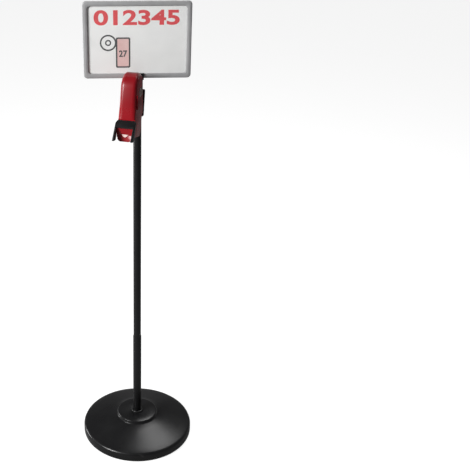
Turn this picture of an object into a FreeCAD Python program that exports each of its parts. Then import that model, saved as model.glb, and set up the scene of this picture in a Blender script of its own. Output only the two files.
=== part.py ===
import FreeCAD, Part
import math
import os
import Sketcher

# Take a number dispenser: a red ticket dispenser clamped to a two part pole on a weighted round
# base, with a card frame on top. Millimetres, +Z up, origin on the floor under the pole.
# The mouth of the dispenser looks along -Y.

SIZES = {
    # base
    "base_radius": 188, "rim_height": 33, "rim_bevel": 7, "cover_wall": 3, "cover_lift": 2.5,
    "cone_radius": 71, "cone_height": 66, "boss_radius": 67, "boss_height": 76,
    "weight_gap": 1, "weight_bottom": 4, "weight_top": 16, "hub_radius": 24, "hub_top": 28,
    "bolt_recess_radius": 13, "bolt_recess_depth": 9,
    "foot_radius": 12, "foot_circle": 150, "foot_sink": 2,
    "collar_radius": 20, "collar_height": 5,
    # pole
    "lower_tube_radius": 14, "lower_tube_wall": 1.2, "lower_tube_top": 389,
    "upper_tube_radius": 12.5, "upper_tube_wall": 1.5, "upper_tube_top": 1285, "tube_overlap": 80,
    "plug_height": 30, "stop_height": 10, "bolt_radius": 5, "bolt_head_radius": 8.5,
    "bolt_head_height": 6, "washer_radius": 11, "washer_height": 1.6,
    "joint_screw_radius": 2, "joint_screw_head": 3.8, "joint_screw_length": 9,
    # sign
    "sign_turn": 17, "sign_width": 313, "sign_height": 226, "sign_bottom": 1292,
    "member_width": 14.5, "member_thickness": 10, "member_round": 3,
    "sign_corner": 11, "sign_inner_corner": 8, "groove_depth": 5, "groove_width": 3.6,
    "sheet_thickness": 1.2, "card_thickness": 0.4, "sheet_inset": 0.5,
    "clip_half_length": 19, "clip_wall": 2.6, "clip_height": 16, "clip_saddle": 4,
    "stem_depth": 40, "clip_screw_radius": 1.6, "clip_screw_head": 3,
    # dispenser case, heights measured from the middle of the ticket roll
    "roll_level": 1281, "roll_reach": 57, "case_radius": 43.5, "case_half_width": 24.5,
    "case_wall": 2.5, "case_back": 18, "back_round": 12, "front_lean": 16.5,
    "front_run": 45, "lip_reach": 117.5, "lip_drop": 76, "hood_run": 6.5, "hood_fall": 5,
    "nose_run": 14, "nose_fall": 12, "chin_set": 1, "chin_fall": 32,
    "belly_reach": 66, "belly_drop": 144, "heel_reach": 54, "heel_drop": 136,
    "back_bend_reach": 40, "back_bend_drop": 91, "back_drop": 59, "front_round": 12, "inner_round": 7,
    # door in the right side
    "door_radius": 36, "door_drop": 54, "door_back": 21.5, "door_land": 7.9, "door_gap": 0.4,
    "hinge_set": 2.9, "hinge_stand": 1.4, "knuckle_radius": 2.6, "hinge_pin_radius": 1.2,
    "knuckle_top": 10, "knuckle_bottom": 52, "knuckle_split": 14,
    "button_back": 32, "button_front": 66, "button_top": 2, "button_bottom": 26,
    "button_proud": 1.5, "button_inner": 3.5, "keeper_thickness": 1.5,
    "latch_spring_length": 4.2, "latch_spring_radius": 4, "latch_wire": 0.7,
    "post_radius": 2, "button_flange": 1.5, "keeper_half": 4, "stub_radius": 1.2,
    # mouth
    "bezel_half_width": 30, "bezel_round": 3, "bezel_corner": 10, "bezel_cap": 3,
    "bezel_lip": 2.3, "bezel_lap": 2, "bezel_rise": 1.5, "tip_run": 32, "tip_fall": 30,
    "tip_flat": 2, "leg_depth": 14, "leg_lift": 1, "cheek_set": 4, "cheek_drop": 7,
    "cheek_rise": 3, "lap_room": 7.5, "lap_rise": 5.7, "mouth_brow": 8, "mouth_room": 20,
    "chute_thickness": 2.5, "tongue_run": 18, "tongue_fall": 36,
    "tongue_round": 11, "chute_length": 20, "chute_rise": 3.5, "mouth_height": 13,
    "bend_run": 4, "bend_fall": 4,
    "blade_half_width": 18, "blade_thickness": 0.8, "blade_start": 5, "blade_length": 15,
    # tickets
    "ticket_width": 26, "ticket_thickness": 0.4, "paper_radius": 35, "core_radius": 14.2,
    "core_wall": 2, "spindle_flange_radius": 18, "spindle_cap_radius": 15, "cap_thickness": 1.5,
    "spindle_screw_radius": 2, "spindle_screw_length": 12, "spindle_wall": 3,
    "cap_plug": 7, "roll_gap": 0.3, "ticket_overhang": 25, "ticket_corner": 11,
    "roller_radius": 5, "roller_drop": 80, "axle_radius": 2,
    "brake_reach": 70, "brake_drop": 62, "brake_boss": 4.5, "brake_half_width": 9,
    "brake_shoe_drop": 74, "brake_arm_height": 6, "brake_pin_radius": 1.5,
    "brake_spring_radius": 4.5, "brake_spring_length": 7,
    "roller_half_width": 15, "wall_boss": 4,
    # pole bracket
    "bracket_top": 17, "bracket_bottom": 101, "bracket_top_half": 28, "bracket_low_half": 23.5,
    "bracket_thickness": 5, "bracket_corner": 4,
    "cradle_inset": 5, "cradle_half_width": 21.5, "cradle_back": 2.5,
    "strap_width": 16, "strap_thickness": 1.5, "strap_high": 35, "strap_low": 83,
    "strap_ear": 21.5, "strap_screw_reach": 17.8, "strap_screw_radius": 1.8,
    "strap_screw_head": 3.2, "strap_screw_length": 9, "screw_head_height": 2,
    "case_screw_radius": 2, "case_screw_head": 3.8, "case_screw_drop": 48, "case_screw_side": 10,
    "case_screw_high": 30, "case_screw_length": 7,
    # clearances
    "seat_gap": 0.2, "run_gap": 0.1, "clear_gap": 0.4,
}

doc = FreeCAD.newDocument("TicketDispenser")
sheet = doc.addObject("Spreadsheet::Sheet", "Sizes")
for row, (alias, number) in enumerate(SIZES.items(), start=1):
    sheet.set(f"A{row}", str(number))
    sheet.setAlias(f"A{row}", alias)
doc.recompute()


class Size:
    """A number together with the sheet formula that it comes from."""

    def __init__(self, number, formula=None):
        self.number = float(number)
        self.formula = formula or str(number)

    def joined(self, other, sign, number):
        return Size(number, f"({self.formula} {sign} {other.formula})")

    def __add__(self, other):
        other = as_size(other)
        return self.joined(other, "+", self.number + other.number)

    def __sub__(self, other):
        other = as_size(other)
        return self.joined(other, "-", self.number - other.number)

    def __mul__(self, other):
        other = as_size(other)
        return self.joined(other, "*", self.number * other.number)

    def __truediv__(self, other):
        other = as_size(other)
        return self.joined(other, "/", self.number / other.number)

    def __radd__(self, other):
        return as_size(other) + self

    def __rsub__(self, other):
        return as_size(other) - self

    def __rmul__(self, other):
        return as_size(other) * self

    def __neg__(self):
        return Size(-self.number, f"(0 - {self.formula})")


def as_size(value):
    return value if isinstance(value, Size) else Size(value)


def cosine(angle):
    return Size(math.cos(math.radians(angle.number)), f"cos({angle.formula} * 1 deg)")


def sine(angle):
    return Size(math.sin(math.radians(angle.number)), f"sin({angle.formula} * 1 deg)")


def root(value):
    return Size(math.sqrt(value.number), f"sqrt({value.formula})")


class Named:
    """Gives each alias of the sheet as a Size."""

    def __getattr__(self, alias):
        return Size(SIZES[alias], f"Sizes.{alias}")


D = Named()


def new_body(label, x=0, y=0, z=0, turn=0):
    """A body at a place, turned about the vertical axis of its own origin."""
    body = doc.addObject("PartDesign::Body", label)
    body.Label = label
    for axis, value in (("x", x), ("y", y), ("z", z)):
        value = as_size(value)
        if value.formula != "0":
            body.setExpression(f"Placement.Base.{axis}", value.formula)
    turn = as_size(turn)
    if turn.formula != "0":
        body.Placement.Rotation = FreeCAD.Rotation(FreeCAD.Vector(0, 0, 1), 1)
        body.setExpression("Placement.Rotation.Angle", turn.formula)
    return body


def new_sketch(body, role, lift=0):
    """A sketch on one of the body's own origin planes, lifted along the plane's normal."""
    sketch = body.newObject("Sketcher::SketchObject", f"{body.Name}_sketch")
    plane = next(f for f in body.Origin.OriginFeatures if f.Role == role)
    sketch.AttachmentSupport = [(plane, "")]
    sketch.MapMode = "FlatFace"
    lift = as_size(lift)
    if lift.formula != "0":
        sketch.setExpression("AttachmentOffset.Base.z", lift.formula)
    return sketch


def pin_point(sketch, geometry, vertex, x, y):
    """Ties a point to its sheet formulas, measured from the sketch's origin."""
    for kind, value in (("DistanceX", as_size(x)), ("DistanceY", as_size(y))):
        index = sketch.addConstraint(
            Sketcher.Constraint(kind, -1, 1, geometry, vertex, value.number))
        sketch.setExpression(f"Constraints[{index}]", value.formula)


def draw_outline(sketch, points):
    """A closed outline of straight lines through the points."""
    spots = [FreeCAD.Vector(as_size(x).number, as_size(y).number, 0) for x, y in points]
    first = sketch.GeometryCount
    count = len(spots)
    for i in range(count):
        sketch.addGeometry(Part.LineSegment(spots[i], spots[(i + 1) % count]), False)
    for i in range(count):
        sketch.addConstraint(
            Sketcher.Constraint("Coincident", first + i, 2, first + (i + 1) % count, 1))
    for i, (x, y) in enumerate(points):
        pin_point(sketch, first + i, 1, x, y)
    return sketch


def draw_box(sketch, left, right, low, high):
    return draw_outline(sketch, [(left, low), (right, low), (right, high), (left, high)])


def draw_circle(sketch, x, y, radius):
    radius = as_size(radius)
    centre = FreeCAD.Vector(as_size(x).number, as_size(y).number, 0)
    index = sketch.addGeometry(
        Part.Circle(centre, FreeCAD.Vector(0, 0, 1), radius.number), False)
    number = sketch.addConstraint(Sketcher.Constraint("Radius", index, radius.number))
    sketch.setExpression(f"Constraints[{number}]", radius.formula)
    pin_point(sketch, index, 3, x, y)
    return sketch


def pad(body, sketch, length, middle=False, reverse=False):
    feature = body.newObject("PartDesign::Pad", f"{body.Name}_pad")
    feature.Profile = sketch
    feature.setExpression("Length", as_size(length).formula)
    feature.Midplane = middle
    feature.Reversed = reverse
    return feature


def pocket(body, sketch, length=None, middle=False, reverse=False):
    """Cuts a sketch out of the body, right through where no length is given."""
    feature = body.newObject("PartDesign::Pocket", f"{body.Name}_pocket")
    feature.Profile = sketch
    if length is None:
        feature.Type = "ThroughAll"
    else:
        feature.setExpression("Length", as_size(length).formula)
    feature.Midplane = middle
    feature.Reversed = reverse
    return feature


def revolve(body, points):
    """Turns an outline of radius and height about the vertical axis."""
    sketch = draw_outline(new_sketch(body, "XZ_Plane"), points)
    feature = body.newObject("PartDesign::Revolution", f"{body.Name}_turned")
    feature.Profile = sketch
    feature.ReferenceAxis = (sketch, ["V_Axis"])
    feature.Angle = 360
    return feature


def turned_ring(label, inner, outer, low, high, **place):
    """A plain ring or tube round the vertical axis."""
    body = new_body(label, **place)
    revolve(body, [(inner, low), (outer, low), (outer, high), (inner, high)])
    return body


def round_edges(body, radius, chosen):
    """Rounds the edges that the chosen test picks from the body as it stands."""
    doc.recompute()
    base = body.Tip
    names = [f"Edge{i}" for i, edge in enumerate(base.Shape.Edges, start=1) if chosen(edge)]
    feature = body.newObject("PartDesign::Fillet", f"{body.Name}_round")
    feature.Base = (base, names)
    feature.setExpression("Radius", as_size(radius).formula)
    return feature


# Base weight: a cast iron disc with a hub that the pole stands on.
weight = new_body("base_weight")
weight_radius = D.base_radius - D.cover_wall - D.weight_gap
revolve(weight, [
    (D.bolt_radius + D.clear_gap, D.weight_bottom + D.bolt_recess_depth),
    (D.bolt_recess_radius, D.weight_bottom + D.bolt_recess_depth),
    (D.bolt_recess_radius, D.weight_bottom), (weight_radius, D.weight_bottom),
    (weight_radius, D.weight_top), (D.hub_radius, D.weight_top), (D.hub_radius, D.hub_top),
    (D.bolt_radius + D.clear_gap, D.hub_top)])

# Base cover: a moulded cone with a raised middle, its ledge resting on the weight.
cover_inner = D.base_radius - D.cover_wall
ledge_inner = weight_radius - D.cover_wall
cover_hole = D.lower_tube_radius + D.clear_gap
cover = new_body("base_cover")
revolve(cover, [
    (D.base_radius, D.cover_lift), (D.base_radius, D.rim_height - D.rim_bevel),
    (D.base_radius - D.rim_bevel, D.rim_height), (D.cone_radius, D.cone_height),
    (D.boss_radius, D.boss_height), (cover_hole, D.boss_height),
    (cover_hole, D.boss_height - D.cover_wall),
    (D.boss_radius - D.cover_wall, D.boss_height - D.cover_wall),
    (D.cone_radius - D.cover_wall, D.cone_height - D.cover_wall),
    (ledge_inner, D.rim_height - D.cover_wall), (ledge_inner, D.weight_top + D.seat_gap),
    (cover_inner, D.weight_top + D.seat_gap), (cover_inner, D.cover_lift)])

# Feet: six rubber pads let into the underside of the weight.
feet = new_body("base_feet")
sketch = draw_circle(new_sketch(feet, "XY_Plane"), D.foot_circle, 0, D.foot_radius)
pad(feet, sketch, D.weight_bottom)
ring = feet.newObject("PartDesign::PolarPattern", "base_feet_ring")
ring.Originals = [feet.Tip]
ring.Axis = (next(f for f in feet.Origin.OriginFeatures if f.Role == "Z_Axis"), [""])
ring.Angle = 360
ring.Occurrences = 6
feet.Tip = ring

# Foot collar: a plastic ring that covers the hole in the cover round the pole.
turned_ring("foot_collar", D.lower_tube_radius + D.seat_gap, D.collar_radius,
            D.boss_height, D.boss_height + D.collar_height)

# Lower tube: powder coated steel, standing on the hub of the weight.
lower_bore = D.lower_tube_radius - D.lower_tube_wall
lower_tube = turned_ring("lower_tube", lower_bore, D.lower_tube_radius,
                         D.hub_top, D.lower_tube_top)
upper_tube_bottom = D.lower_tube_top - D.tube_overlap
joint_level = D.lower_tube_top - D.tube_overlap / 2

# Foot plug: a threaded steel plug pressed into the lower tube.
turned_ring("foot_plug", D.bolt_radius + D.run_gap, lower_bore - D.seat_gap,
            D.hub_top, D.hub_top + D.plug_height)

# Base washer and bolt: pull the plug down on to the hub from below.
recess_top = D.weight_bottom + D.bolt_recess_depth
turned_ring("base_washer", D.bolt_radius + D.run_gap, D.washer_radius,
            recess_top - D.washer_height, recess_top)
bolt = new_body("base_bolt")
bolt_seat = recess_top - D.washer_height
revolve(bolt, [(0, bolt_seat - D.bolt_head_height),
               (D.bolt_head_radius, bolt_seat - D.bolt_head_height),
               (D.bolt_head_radius, bolt_seat), (D.bolt_radius, bolt_seat),
               (D.bolt_radius, D.hub_top + D.plug_height - D.clear_gap),
               (0, D.hub_top + D.plug_height - D.clear_gap)])

# Tube stop: a plastic plug that the upper tube stands on.
stop = new_body("tube_stop")
revolve(stop, [(0, upper_tube_bottom - D.stop_height),
               (lower_bore - D.seat_gap, upper_tube_bottom - D.stop_height),
               (lower_bore - D.seat_gap, upper_tube_bottom), (0, upper_tube_bottom)])

# Upper tube: slides into the lower one and is screwed there.
upper_bore = D.upper_tube_radius - D.upper_tube_wall
upper_tube = turned_ring("upper_tube", upper_bore, D.upper_tube_radius,
                         upper_tube_bottom, D.upper_tube_top)
for tube in (lower_tube, upper_tube):
    sketch = draw_circle(new_sketch(tube, "XZ_Plane"), 0, joint_level,
                         D.joint_screw_radius + D.seat_gap)
    pocket(tube, sketch, reverse=False)

# Joint screw: holds the two tubes together from behind.
joint_screw = new_body("joint_screw")
sketch = draw_circle(new_sketch(joint_screw, "XZ_Plane", -D.lower_tube_radius),
                     0, joint_level, D.joint_screw_radius)
pad(joint_screw, sketch, D.joint_screw_length)
sketch = draw_circle(new_sketch(joint_screw, "XZ_Plane", -D.lower_tube_radius),
                     0, joint_level, D.joint_screw_head)
pad(joint_screw, sketch, D.joint_screw_radius, reverse=True)

# Sign clip: a T piece, its stem in the pole and its saddle round the frame's lower member.
half_member = D.member_thickness / 2
saddle_half = half_member + D.clip_wall
clip_floor = D.sign_bottom - D.seat_gap
clip = new_body("sign_clip", turn=D.sign_turn)
sketch = draw_box(new_sketch(clip, "YZ_Plane"), -saddle_half, saddle_half,
                  clip_floor - D.clip_saddle, clip_floor + D.clip_height)
pad(clip, sketch, D.clip_half_length * 2, middle=True)
sketch = draw_box(new_sketch(clip, "YZ_Plane"), -half_member - D.seat_gap / 2,
                  half_member + D.seat_gap / 2, clip_floor,
                  clip_floor + D.clip_height + D.clip_wall)
pocket(clip, sketch, D.clip_half_length * 2 + D.clip_wall, middle=True)
sketch = draw_circle(new_sketch(clip, "XY_Plane", D.upper_tube_top), 0, 0, D.upper_tube_radius)
pad(clip, sketch, clip_floor - D.upper_tube_top)
sketch = draw_circle(new_sketch(clip, "XY_Plane", D.upper_tube_top), 0, 0,
                     upper_bore - D.seat_gap)
pad(clip, sketch, D.stem_depth, reverse=True)

# Sign frame: a moulded frame for a landscape card, open in a slot along its top.
half_sign = D.sign_width / 2
sign_top = D.sign_bottom + D.sign_height
inner_half = half_sign - D.member_width
inner_bottom = D.sign_bottom + D.member_width
inner_top = sign_top - D.member_width
frame = new_body("sign_frame", turn=D.sign_turn)
sketch = draw_box(new_sketch(frame, "XZ_Plane"), -half_sign, half_sign, D.sign_bottom, sign_top)
pad(frame, sketch, D.member_thickness, middle=True)
round_edges(frame, D.sign_corner, lambda edge: abs(edge.tangentAt(edge.FirstParameter).y) > 0.9)
sketch = draw_box(new_sketch(frame, "XZ_Plane"), -inner_half, inner_half, inner_bottom, inner_top)
pocket(frame, sketch, D.member_thickness * 2, middle=True)
round_edges(frame, D.sign_inner_corner, lambda edge: (
    abs(edge.tangentAt(edge.FirstParameter).y) > 0.9
    and abs(abs(edge.BoundBox.Center.x) - inner_half.number) < 0.01))
round_edges(frame, D.member_round, lambda edge: (
    edge.BoundBox.YLength < 0.01
    and abs(abs(edge.BoundBox.Center.y) - half_member.number) < 0.01))
sketch = draw_box(new_sketch(frame, "YZ_Plane"), -D.groove_width / 2, D.groove_width / 2,
                  inner_bottom - D.groove_depth, sign_top + D.groove_depth)
pocket(frame, sketch, (inner_half + D.groove_depth) * 2, middle=True)

# Clip screw: holds the clip on the frame from behind.
clip_screw = new_body("clip_screw", turn=D.sign_turn)
clip_screw_level = D.sign_bottom + D.member_width / 2
sketch = draw_circle(new_sketch(clip_screw, "XZ_Plane", -saddle_half), 0, clip_screw_level,
                     D.clip_screw_radius)
pad(clip_screw, sketch, saddle_half)
sketch = draw_circle(new_sketch(clip_screw, "XZ_Plane", -saddle_half), 0, clip_screw_level,
                     D.clip_screw_head)
pad(clip_screw, sketch, D.clip_screw_radius, reverse=True)
for piece in (clip, frame):
    sketch = draw_circle(new_sketch(piece, "XZ_Plane"), 0, clip_screw_level,
                         D.clip_screw_radius + D.seat_gap / 2)
    pocket(piece, sketch)

# Sign insert: a clear window, the card and a white back, which slide out through the top slot.
insert_half = inner_half + D.groove_depth - D.clear_gap
insert_low = inner_bottom - D.groove_depth + D.clear_gap
insert_top = sign_top - D.sheet_inset
insert_front = D.sheet_thickness + D.card_thickness / 2
for label, front, thickness in (
        ("sign_window", insert_front, D.sheet_thickness),
        ("sign_card", D.card_thickness / 2, D.card_thickness),
        ("sign_back", -D.card_thickness / 2, D.sheet_thickness)):
    layer = new_body(label, turn=D.sign_turn)
    sketch = draw_box(new_sketch(layer, "XZ_Plane", front), -insert_half, insert_half,
                      insert_low, insert_top)
    pad(layer, sketch, thickness, reverse=True)


# Case corners at the mouth: each follows the one before it, down the front of the case.
hood_reach, hood_drop = D.lip_reach + D.hood_run, D.lip_drop + D.hood_fall
nose_reach, nose_drop = hood_reach + D.nose_run, hood_drop + D.nose_fall
chin_reach, chin_drop = nose_reach - D.chin_set, nose_drop + D.chin_fall


def draw_case_outline(sketch, wall):
    """The side outline of the case, or of its hollow where a wall is given."""
    wall = as_size(wall)
    arc_radius = D.case_radius - wall
    lean_out, lean_up = cosine(D.front_lean), sine(D.front_lean)
    start = (-(D.roll_reach + arc_radius * lean_out), arc_radius * lean_up)
    bend = (start[0] - D.front_run * lean_up, start[1] - D.front_run * lean_out)
    nose_level = -(nose_drop + wall)
    chin_level = -(chin_drop - wall)
    slope = (D.belly_drop - chin_drop) / (chin_reach - D.belly_reach)
    points = [start, bend, (-(D.lip_reach - wall), -D.lip_drop),
              (-(hood_reach - wall / 2), -(hood_drop + wall)),
              (-(nose_reach - wall / 2), nose_level)]
    if wall.number > 0:
        outside = nose_reach + D.mouth_room
        points += [(-outside, nose_level),
                   (-outside, chin_level + (outside - chin_reach) * slope)]
    else:
        points += [(-chin_reach, chin_level)]
    back = -(D.case_back + wall)
    span = D.roll_reach + back
    points += [(-D.belly_reach, -(D.belly_drop - wall)),
               (-(D.heel_reach + wall / 2), -(D.heel_drop - wall / 2)),
               (-(D.back_bend_reach + wall), -D.back_bend_drop),
               (back, -D.back_drop), (back, root(arc_radius * arc_radius - span * span))]
    spots = [FreeCAD.Vector(x.number, y.number, 0) for x, y in points]
    count = len(spots)
    for i in range(count - 1):
        sketch.addGeometry(Part.LineSegment(spots[i], spots[i + 1]), False)
    centre = FreeCAD.Vector(-D.roll_reach.number, 0, 0)
    circle = Part.Circle(centre, FreeCAD.Vector(0, 0, 1), arc_radius.number)
    low_angle = math.atan2(spots[-1].y, spots[-1].x - centre.x)
    high_angle = math.atan2(spots[0].y, spots[0].x - centre.x)
    arc = sketch.addGeometry(Part.ArcOfCircle(circle, low_angle, high_angle), False)
    for i in range(count - 2):
        sketch.addConstraint(Sketcher.Constraint("Coincident", i, 2, i + 1, 1))
    sketch.addConstraint(Sketcher.Constraint("Coincident", count - 2, 2, arc, 1))
    sketch.addConstraint(Sketcher.Constraint("Coincident", arc, 2, 0, 1))
    number = sketch.addConstraint(Sketcher.Constraint("Radius", arc, arc_radius.number))
    sketch.setExpression(f"Constraints[{number}]", arc_radius.formula)
    pin_point(sketch, arc, 3, -D.roll_reach, 0)
    for i in range(1, count - 1):
        pin_point(sketch, i, 1, *points[i])
    for kind, geometry, vertex, value in (("DistanceY", 0, 1, points[0][1]),
                                          ("DistanceX", count - 2, 2, back)):
        number = sketch.addConstraint(
            Sketcher.Constraint(kind, -1, 1, geometry, vertex, value.number))
        sketch.setExpression(f"Constraints[{number}]", value.formula)
    return sketch


def case_form(label, wall, side_round, front_round=None):
    """The solid form of the case, or of its hollow, with its long side edges rounded."""
    half = D.case_half_width - wall
    body = new_body(label)
    pad(body, draw_case_outline(new_sketch(body, "YZ_Plane"), wall), half * 2, middle=True)
    round_edges(body, side_round, lambda edge: (
        edge.BoundBox.XLength < 0.01 and abs(abs(edge.BoundBox.Center.x) - half.number) < 0.01
        and edge.BoundBox.Center.y > -D.back_bend_reach.number + 5
        and edge.BoundBox.YLength < 1))
    if front_round:
        round_edges(body, front_round, lambda edge: (
            edge.BoundBox.XLength < 0.01 and edge.BoundBox.ZMax > -D.lip_drop.number + 1
            and abs(abs(edge.BoundBox.Center.x) - half.number) < 0.01
            and edge.BoundBox.Center.y < -D.roll_reach.number / 2))
    return body


# Case form and hollow: the closed outer form and the room inside it, used for case and door.
outer = case_form("case_outer", 0, D.back_round, D.front_round)
hollow = case_form("case_hollow", D.case_wall, D.back_round - D.case_wall, D.inner_round)


door_front = D.roll_reach + D.case_radius - D.door_land
hinge_reach, hinge_out = door_front + D.hinge_set, D.case_half_width + D.hinge_stand


def door_block(label, gap):
    """A block as wide as the door opening, less the gap all round."""
    body = new_body(label)
    for drop in (0, D.door_drop - gap):
        sketch = new_sketch(body, "YZ_Plane")
        if as_size(drop).number > 0:
            draw_box(sketch, gap - door_front, -(D.door_back + gap), -drop, 0)
        else:
            draw_circle(sketch, -D.roll_reach, 0, D.door_radius - gap)
        pad(body, sketch, D.case_half_width * 2)
    return body


opening = door_block("door_opening", 0)
plug = door_block("door_plug", D.door_gap)
doc.recompute()
shell = doc.addObject("Part::Cut", "closed_shell")
shell.Base, shell.Tool = outer, hollow
open_shell = doc.addObject("Part::Cut", "open_shell")
open_shell.Base, open_shell.Tool = shell, opening
door_panel = doc.addObject("Part::Common", "door_panel")
door_panel.Base, door_panel.Tool = shell, plug
doc.recompute()


def based_body(label, base):
    """A body at roll level that goes on from a finished solid."""
    body = new_body(label, z=D.roll_level)
    body.BaseFeature = base
    return body


def side_rod(body, reach, drop, radius, left, right):
    """Adds a round rod along X to a dispenser body."""
    sketch = draw_circle(new_sketch(body, "YZ_Plane", left), -reach, -drop, radius)
    return pad(body, sketch, as_size(right) - left)


def side_bore(body, reach, drop, radius, left, right):
    """Cuts a round hole along X, between two planes, out of a dispenser body."""
    sketch = draw_circle(new_sketch(body, "YZ_Plane", left), -reach, -drop, radius)
    return pocket(body, sketch, as_size(right) - left, reverse=True)


def side_block(body, points, left, right):
    """Adds a block of the given side outline to a dispenser body."""
    sketch = draw_outline(new_sketch(body, "YZ_Plane", left), points)
    return pad(body, sketch, as_size(right) - left)


def side_cut(body, points, left, right):
    """Cuts a block of the given side outline out of a dispenser body."""
    sketch = draw_outline(new_sketch(body, "YZ_Plane", left), points)
    return pocket(body, sketch, as_size(right) - left, reverse=True)


def rectangle(near, far, low, high):
    return [(-near, low), (-far, low), (-far, high), (-near, high)]


half_case = D.case_half_width
inner_half_case = D.case_half_width - D.case_wall
knuckle_high, knuckle_low = -D.knuckle_top, -D.knuckle_bottom
split_high, split_low = knuckle_high - D.knuckle_split, knuckle_low + D.knuckle_split
roller_reach = (D.roll_reach + D.paper_radius + D.roller_radius + D.ticket_thickness
                + D.roll_gap * 2)
notch_front = hinge_reach + D.knuckle_radius + D.clear_gap

# Case: the fixed red shell of the dispenser, open at the right side and at the mouth.
case = based_body("case_shell", open_shell)
sketch = draw_circle(new_sketch(case, "XY_Plane", knuckle_low), hinge_out, -hinge_reach,
                     D.knuckle_radius)
pad(case, sketch, knuckle_high - knuckle_low)
side_cut(case, rectangle(door_front - 1, notch_front, split_low, split_high),
         inner_half_case - 1, hinge_out + D.knuckle_radius + 1)
sketch = draw_circle(new_sketch(case, "XY_Plane", knuckle_low), hinge_out, -hinge_reach,
                     D.hinge_pin_radius + D.run_gap)
pocket(case, sketch, knuckle_high - knuckle_low, reverse=True)
side_rod(case, D.brake_reach, D.brake_drop, D.brake_boss, -inner_half_case,
         -(D.brake_half_width + D.brake_spring_length))
side_bore(case, D.brake_reach, D.brake_drop, D.brake_pin_radius + D.seat_gap / 2, -half_case,
          -D.brake_half_width)
side_rod(case, roller_reach, D.roller_drop, D.wall_boss, D.roller_half_width + D.clear_gap,
         inner_half_case)
side_bore(case, roller_reach, D.roller_drop, D.axle_radius + D.seat_gap / 2, -half_case,
          inner_half_case)
side_bore(case, D.roll_reach, 0, D.spindle_screw_radius + D.seat_gap / 2, -half_case,
          -inner_half_case)
case_screw_spots = [(-D.case_screw_side, -D.case_screw_drop),
                    (D.case_screw_side, -D.case_screw_drop), (0, -D.case_screw_high)]
sketch = new_sketch(case, "XZ_Plane", D.case_back + D.case_wall)
for x, z in case_screw_spots:
    draw_circle(sketch, x, z, D.case_screw_radius + D.seat_gap / 2)
pocket(case, sketch, D.case_wall)

# Door: the right side panel of the case, hinged at its front edge, opened to load a roll.
door = based_body("door", door_panel)
split_gap = D.clear_gap
sketch = draw_circle(new_sketch(door, "XY_Plane", split_low + split_gap), hinge_out,
                     -hinge_reach, D.knuckle_radius)
pad(door, sketch, split_high - split_low - split_gap * 2)
side_block(door, rectangle(door_front - 2, hinge_reach, split_low + split_gap,
                           split_high - split_gap), inner_half_case, half_case)
sketch = draw_circle(new_sketch(door, "XY_Plane", split_low), hinge_out, -hinge_reach,
                     D.hinge_pin_radius + D.run_gap)
pocket(door, sketch, split_high - split_low, reverse=True)
side_cut(door, rectangle(D.button_back, D.button_front, -D.button_bottom, -D.button_top),
         inner_half_case - 2, half_case + 1)
button_inner = half_case - D.button_inner
keeper_out = button_inner - D.latch_spring_length
keeper_in = keeper_out - D.keeper_thickness
button_middle = (D.button_top + D.button_bottom) / 2
post_reach = (D.button_back - D.button_flange - D.post_radius - 0.2,
              D.button_front + D.button_flange + D.post_radius + 0.2)
for reach in post_reach:
    side_rod(door, reach, button_middle, D.post_radius, keeper_out, inner_half_case + 1)
    side_rod(door, reach, button_middle, D.stub_radius, keeper_in, keeper_out)

# Hinge pin of the door.
hinge_pin = new_body("hinge_pin", z=D.roll_level)
sketch = draw_circle(new_sketch(hinge_pin, "XY_Plane", knuckle_low + D.clear_gap), hinge_out,
                     -hinge_reach, D.hinge_pin_radius)
pad(hinge_pin, sketch, knuckle_high - knuckle_low - D.clear_gap * 2)

# Latch button: a push button in the door, with a flange behind the panel.
button = new_body("latch_button", z=D.roll_level)
side_block(button, rectangle(D.button_back + D.clear_gap, D.button_front - D.clear_gap,
                             -(D.button_bottom - D.clear_gap), -(D.button_top + D.clear_gap)),
           button_inner, half_case + D.button_proud)
side_block(button, rectangle(D.button_back - D.button_flange, D.button_front + D.button_flange,
                             -(D.button_bottom + D.button_flange),
                             -(D.button_top - D.button_flange)),
           button_inner, inner_half_case - D.run_gap)

# Latch spring: pushes the button out.
latch_spring = new_body("latch_spring", z=D.roll_level)
button_centre = (D.button_back + D.button_front) / 2
side_rod(latch_spring, button_centre, button_middle, D.latch_spring_radius, keeper_out,
         button_inner)
side_bore(latch_spring, button_centre, button_middle, D.latch_spring_radius - D.latch_wire,
          keeper_out, button_inner)

# Latch keeper: the strip behind the button that carries the spring.
keeper = new_body("latch_keeper", z=D.roll_level)
side_block(keeper, rectangle(post_reach[0] - 3, post_reach[1] + 3,
                             -(button_middle + D.keeper_half), D.keeper_half - button_middle),
           keeper_in, keeper_out)
for reach in post_reach:
    side_bore(keeper, reach, button_middle, D.stub_radius + D.seat_gap / 2, keeper_in, keeper_out)


def draw_corner(sketch, x, y, radius, side):
    """The waste of an upper corner: two edges and the round that the corner keeps."""
    near, far, low = side * (x - radius), side * x, y - radius
    spots = [FreeCAD.Vector(a.number, b.number, 0) for a, b in ((near, y), (far, y), (far, low))]
    sketch.addGeometry(Part.LineSegment(spots[0], spots[1]), False)
    sketch.addGeometry(Part.LineSegment(spots[1], spots[2]), False)
    centre = FreeCAD.Vector(near.number, low.number, 0)
    circle = Part.Circle(centre, FreeCAD.Vector(0, 0, 1), radius.number)
    start = 0 if side > 0 else math.pi / 2
    sketch.addGeometry(Part.ArcOfCircle(circle, start, start + math.pi / 2), False)
    low_end, high_end = (1, 2) if side > 0 else (2, 1)
    for first, end, second, other in ((0, 2, 1, 1), (1, 2, 2, low_end), (2, high_end, 0, 1)):
        sketch.addConstraint(Sketcher.Constraint("Coincident", first, end, second, other))
    pin_point(sketch, 0, 1, near, y)
    pin_point(sketch, 1, 1, far, y)
    pin_point(sketch, 1, 2, far, low)
    number = sketch.addConstraint(Sketcher.Constraint("Radius", 2, radius.number))
    sketch.setExpression(f"Constraints[{number}]", radius.formula)
    return sketch


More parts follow.
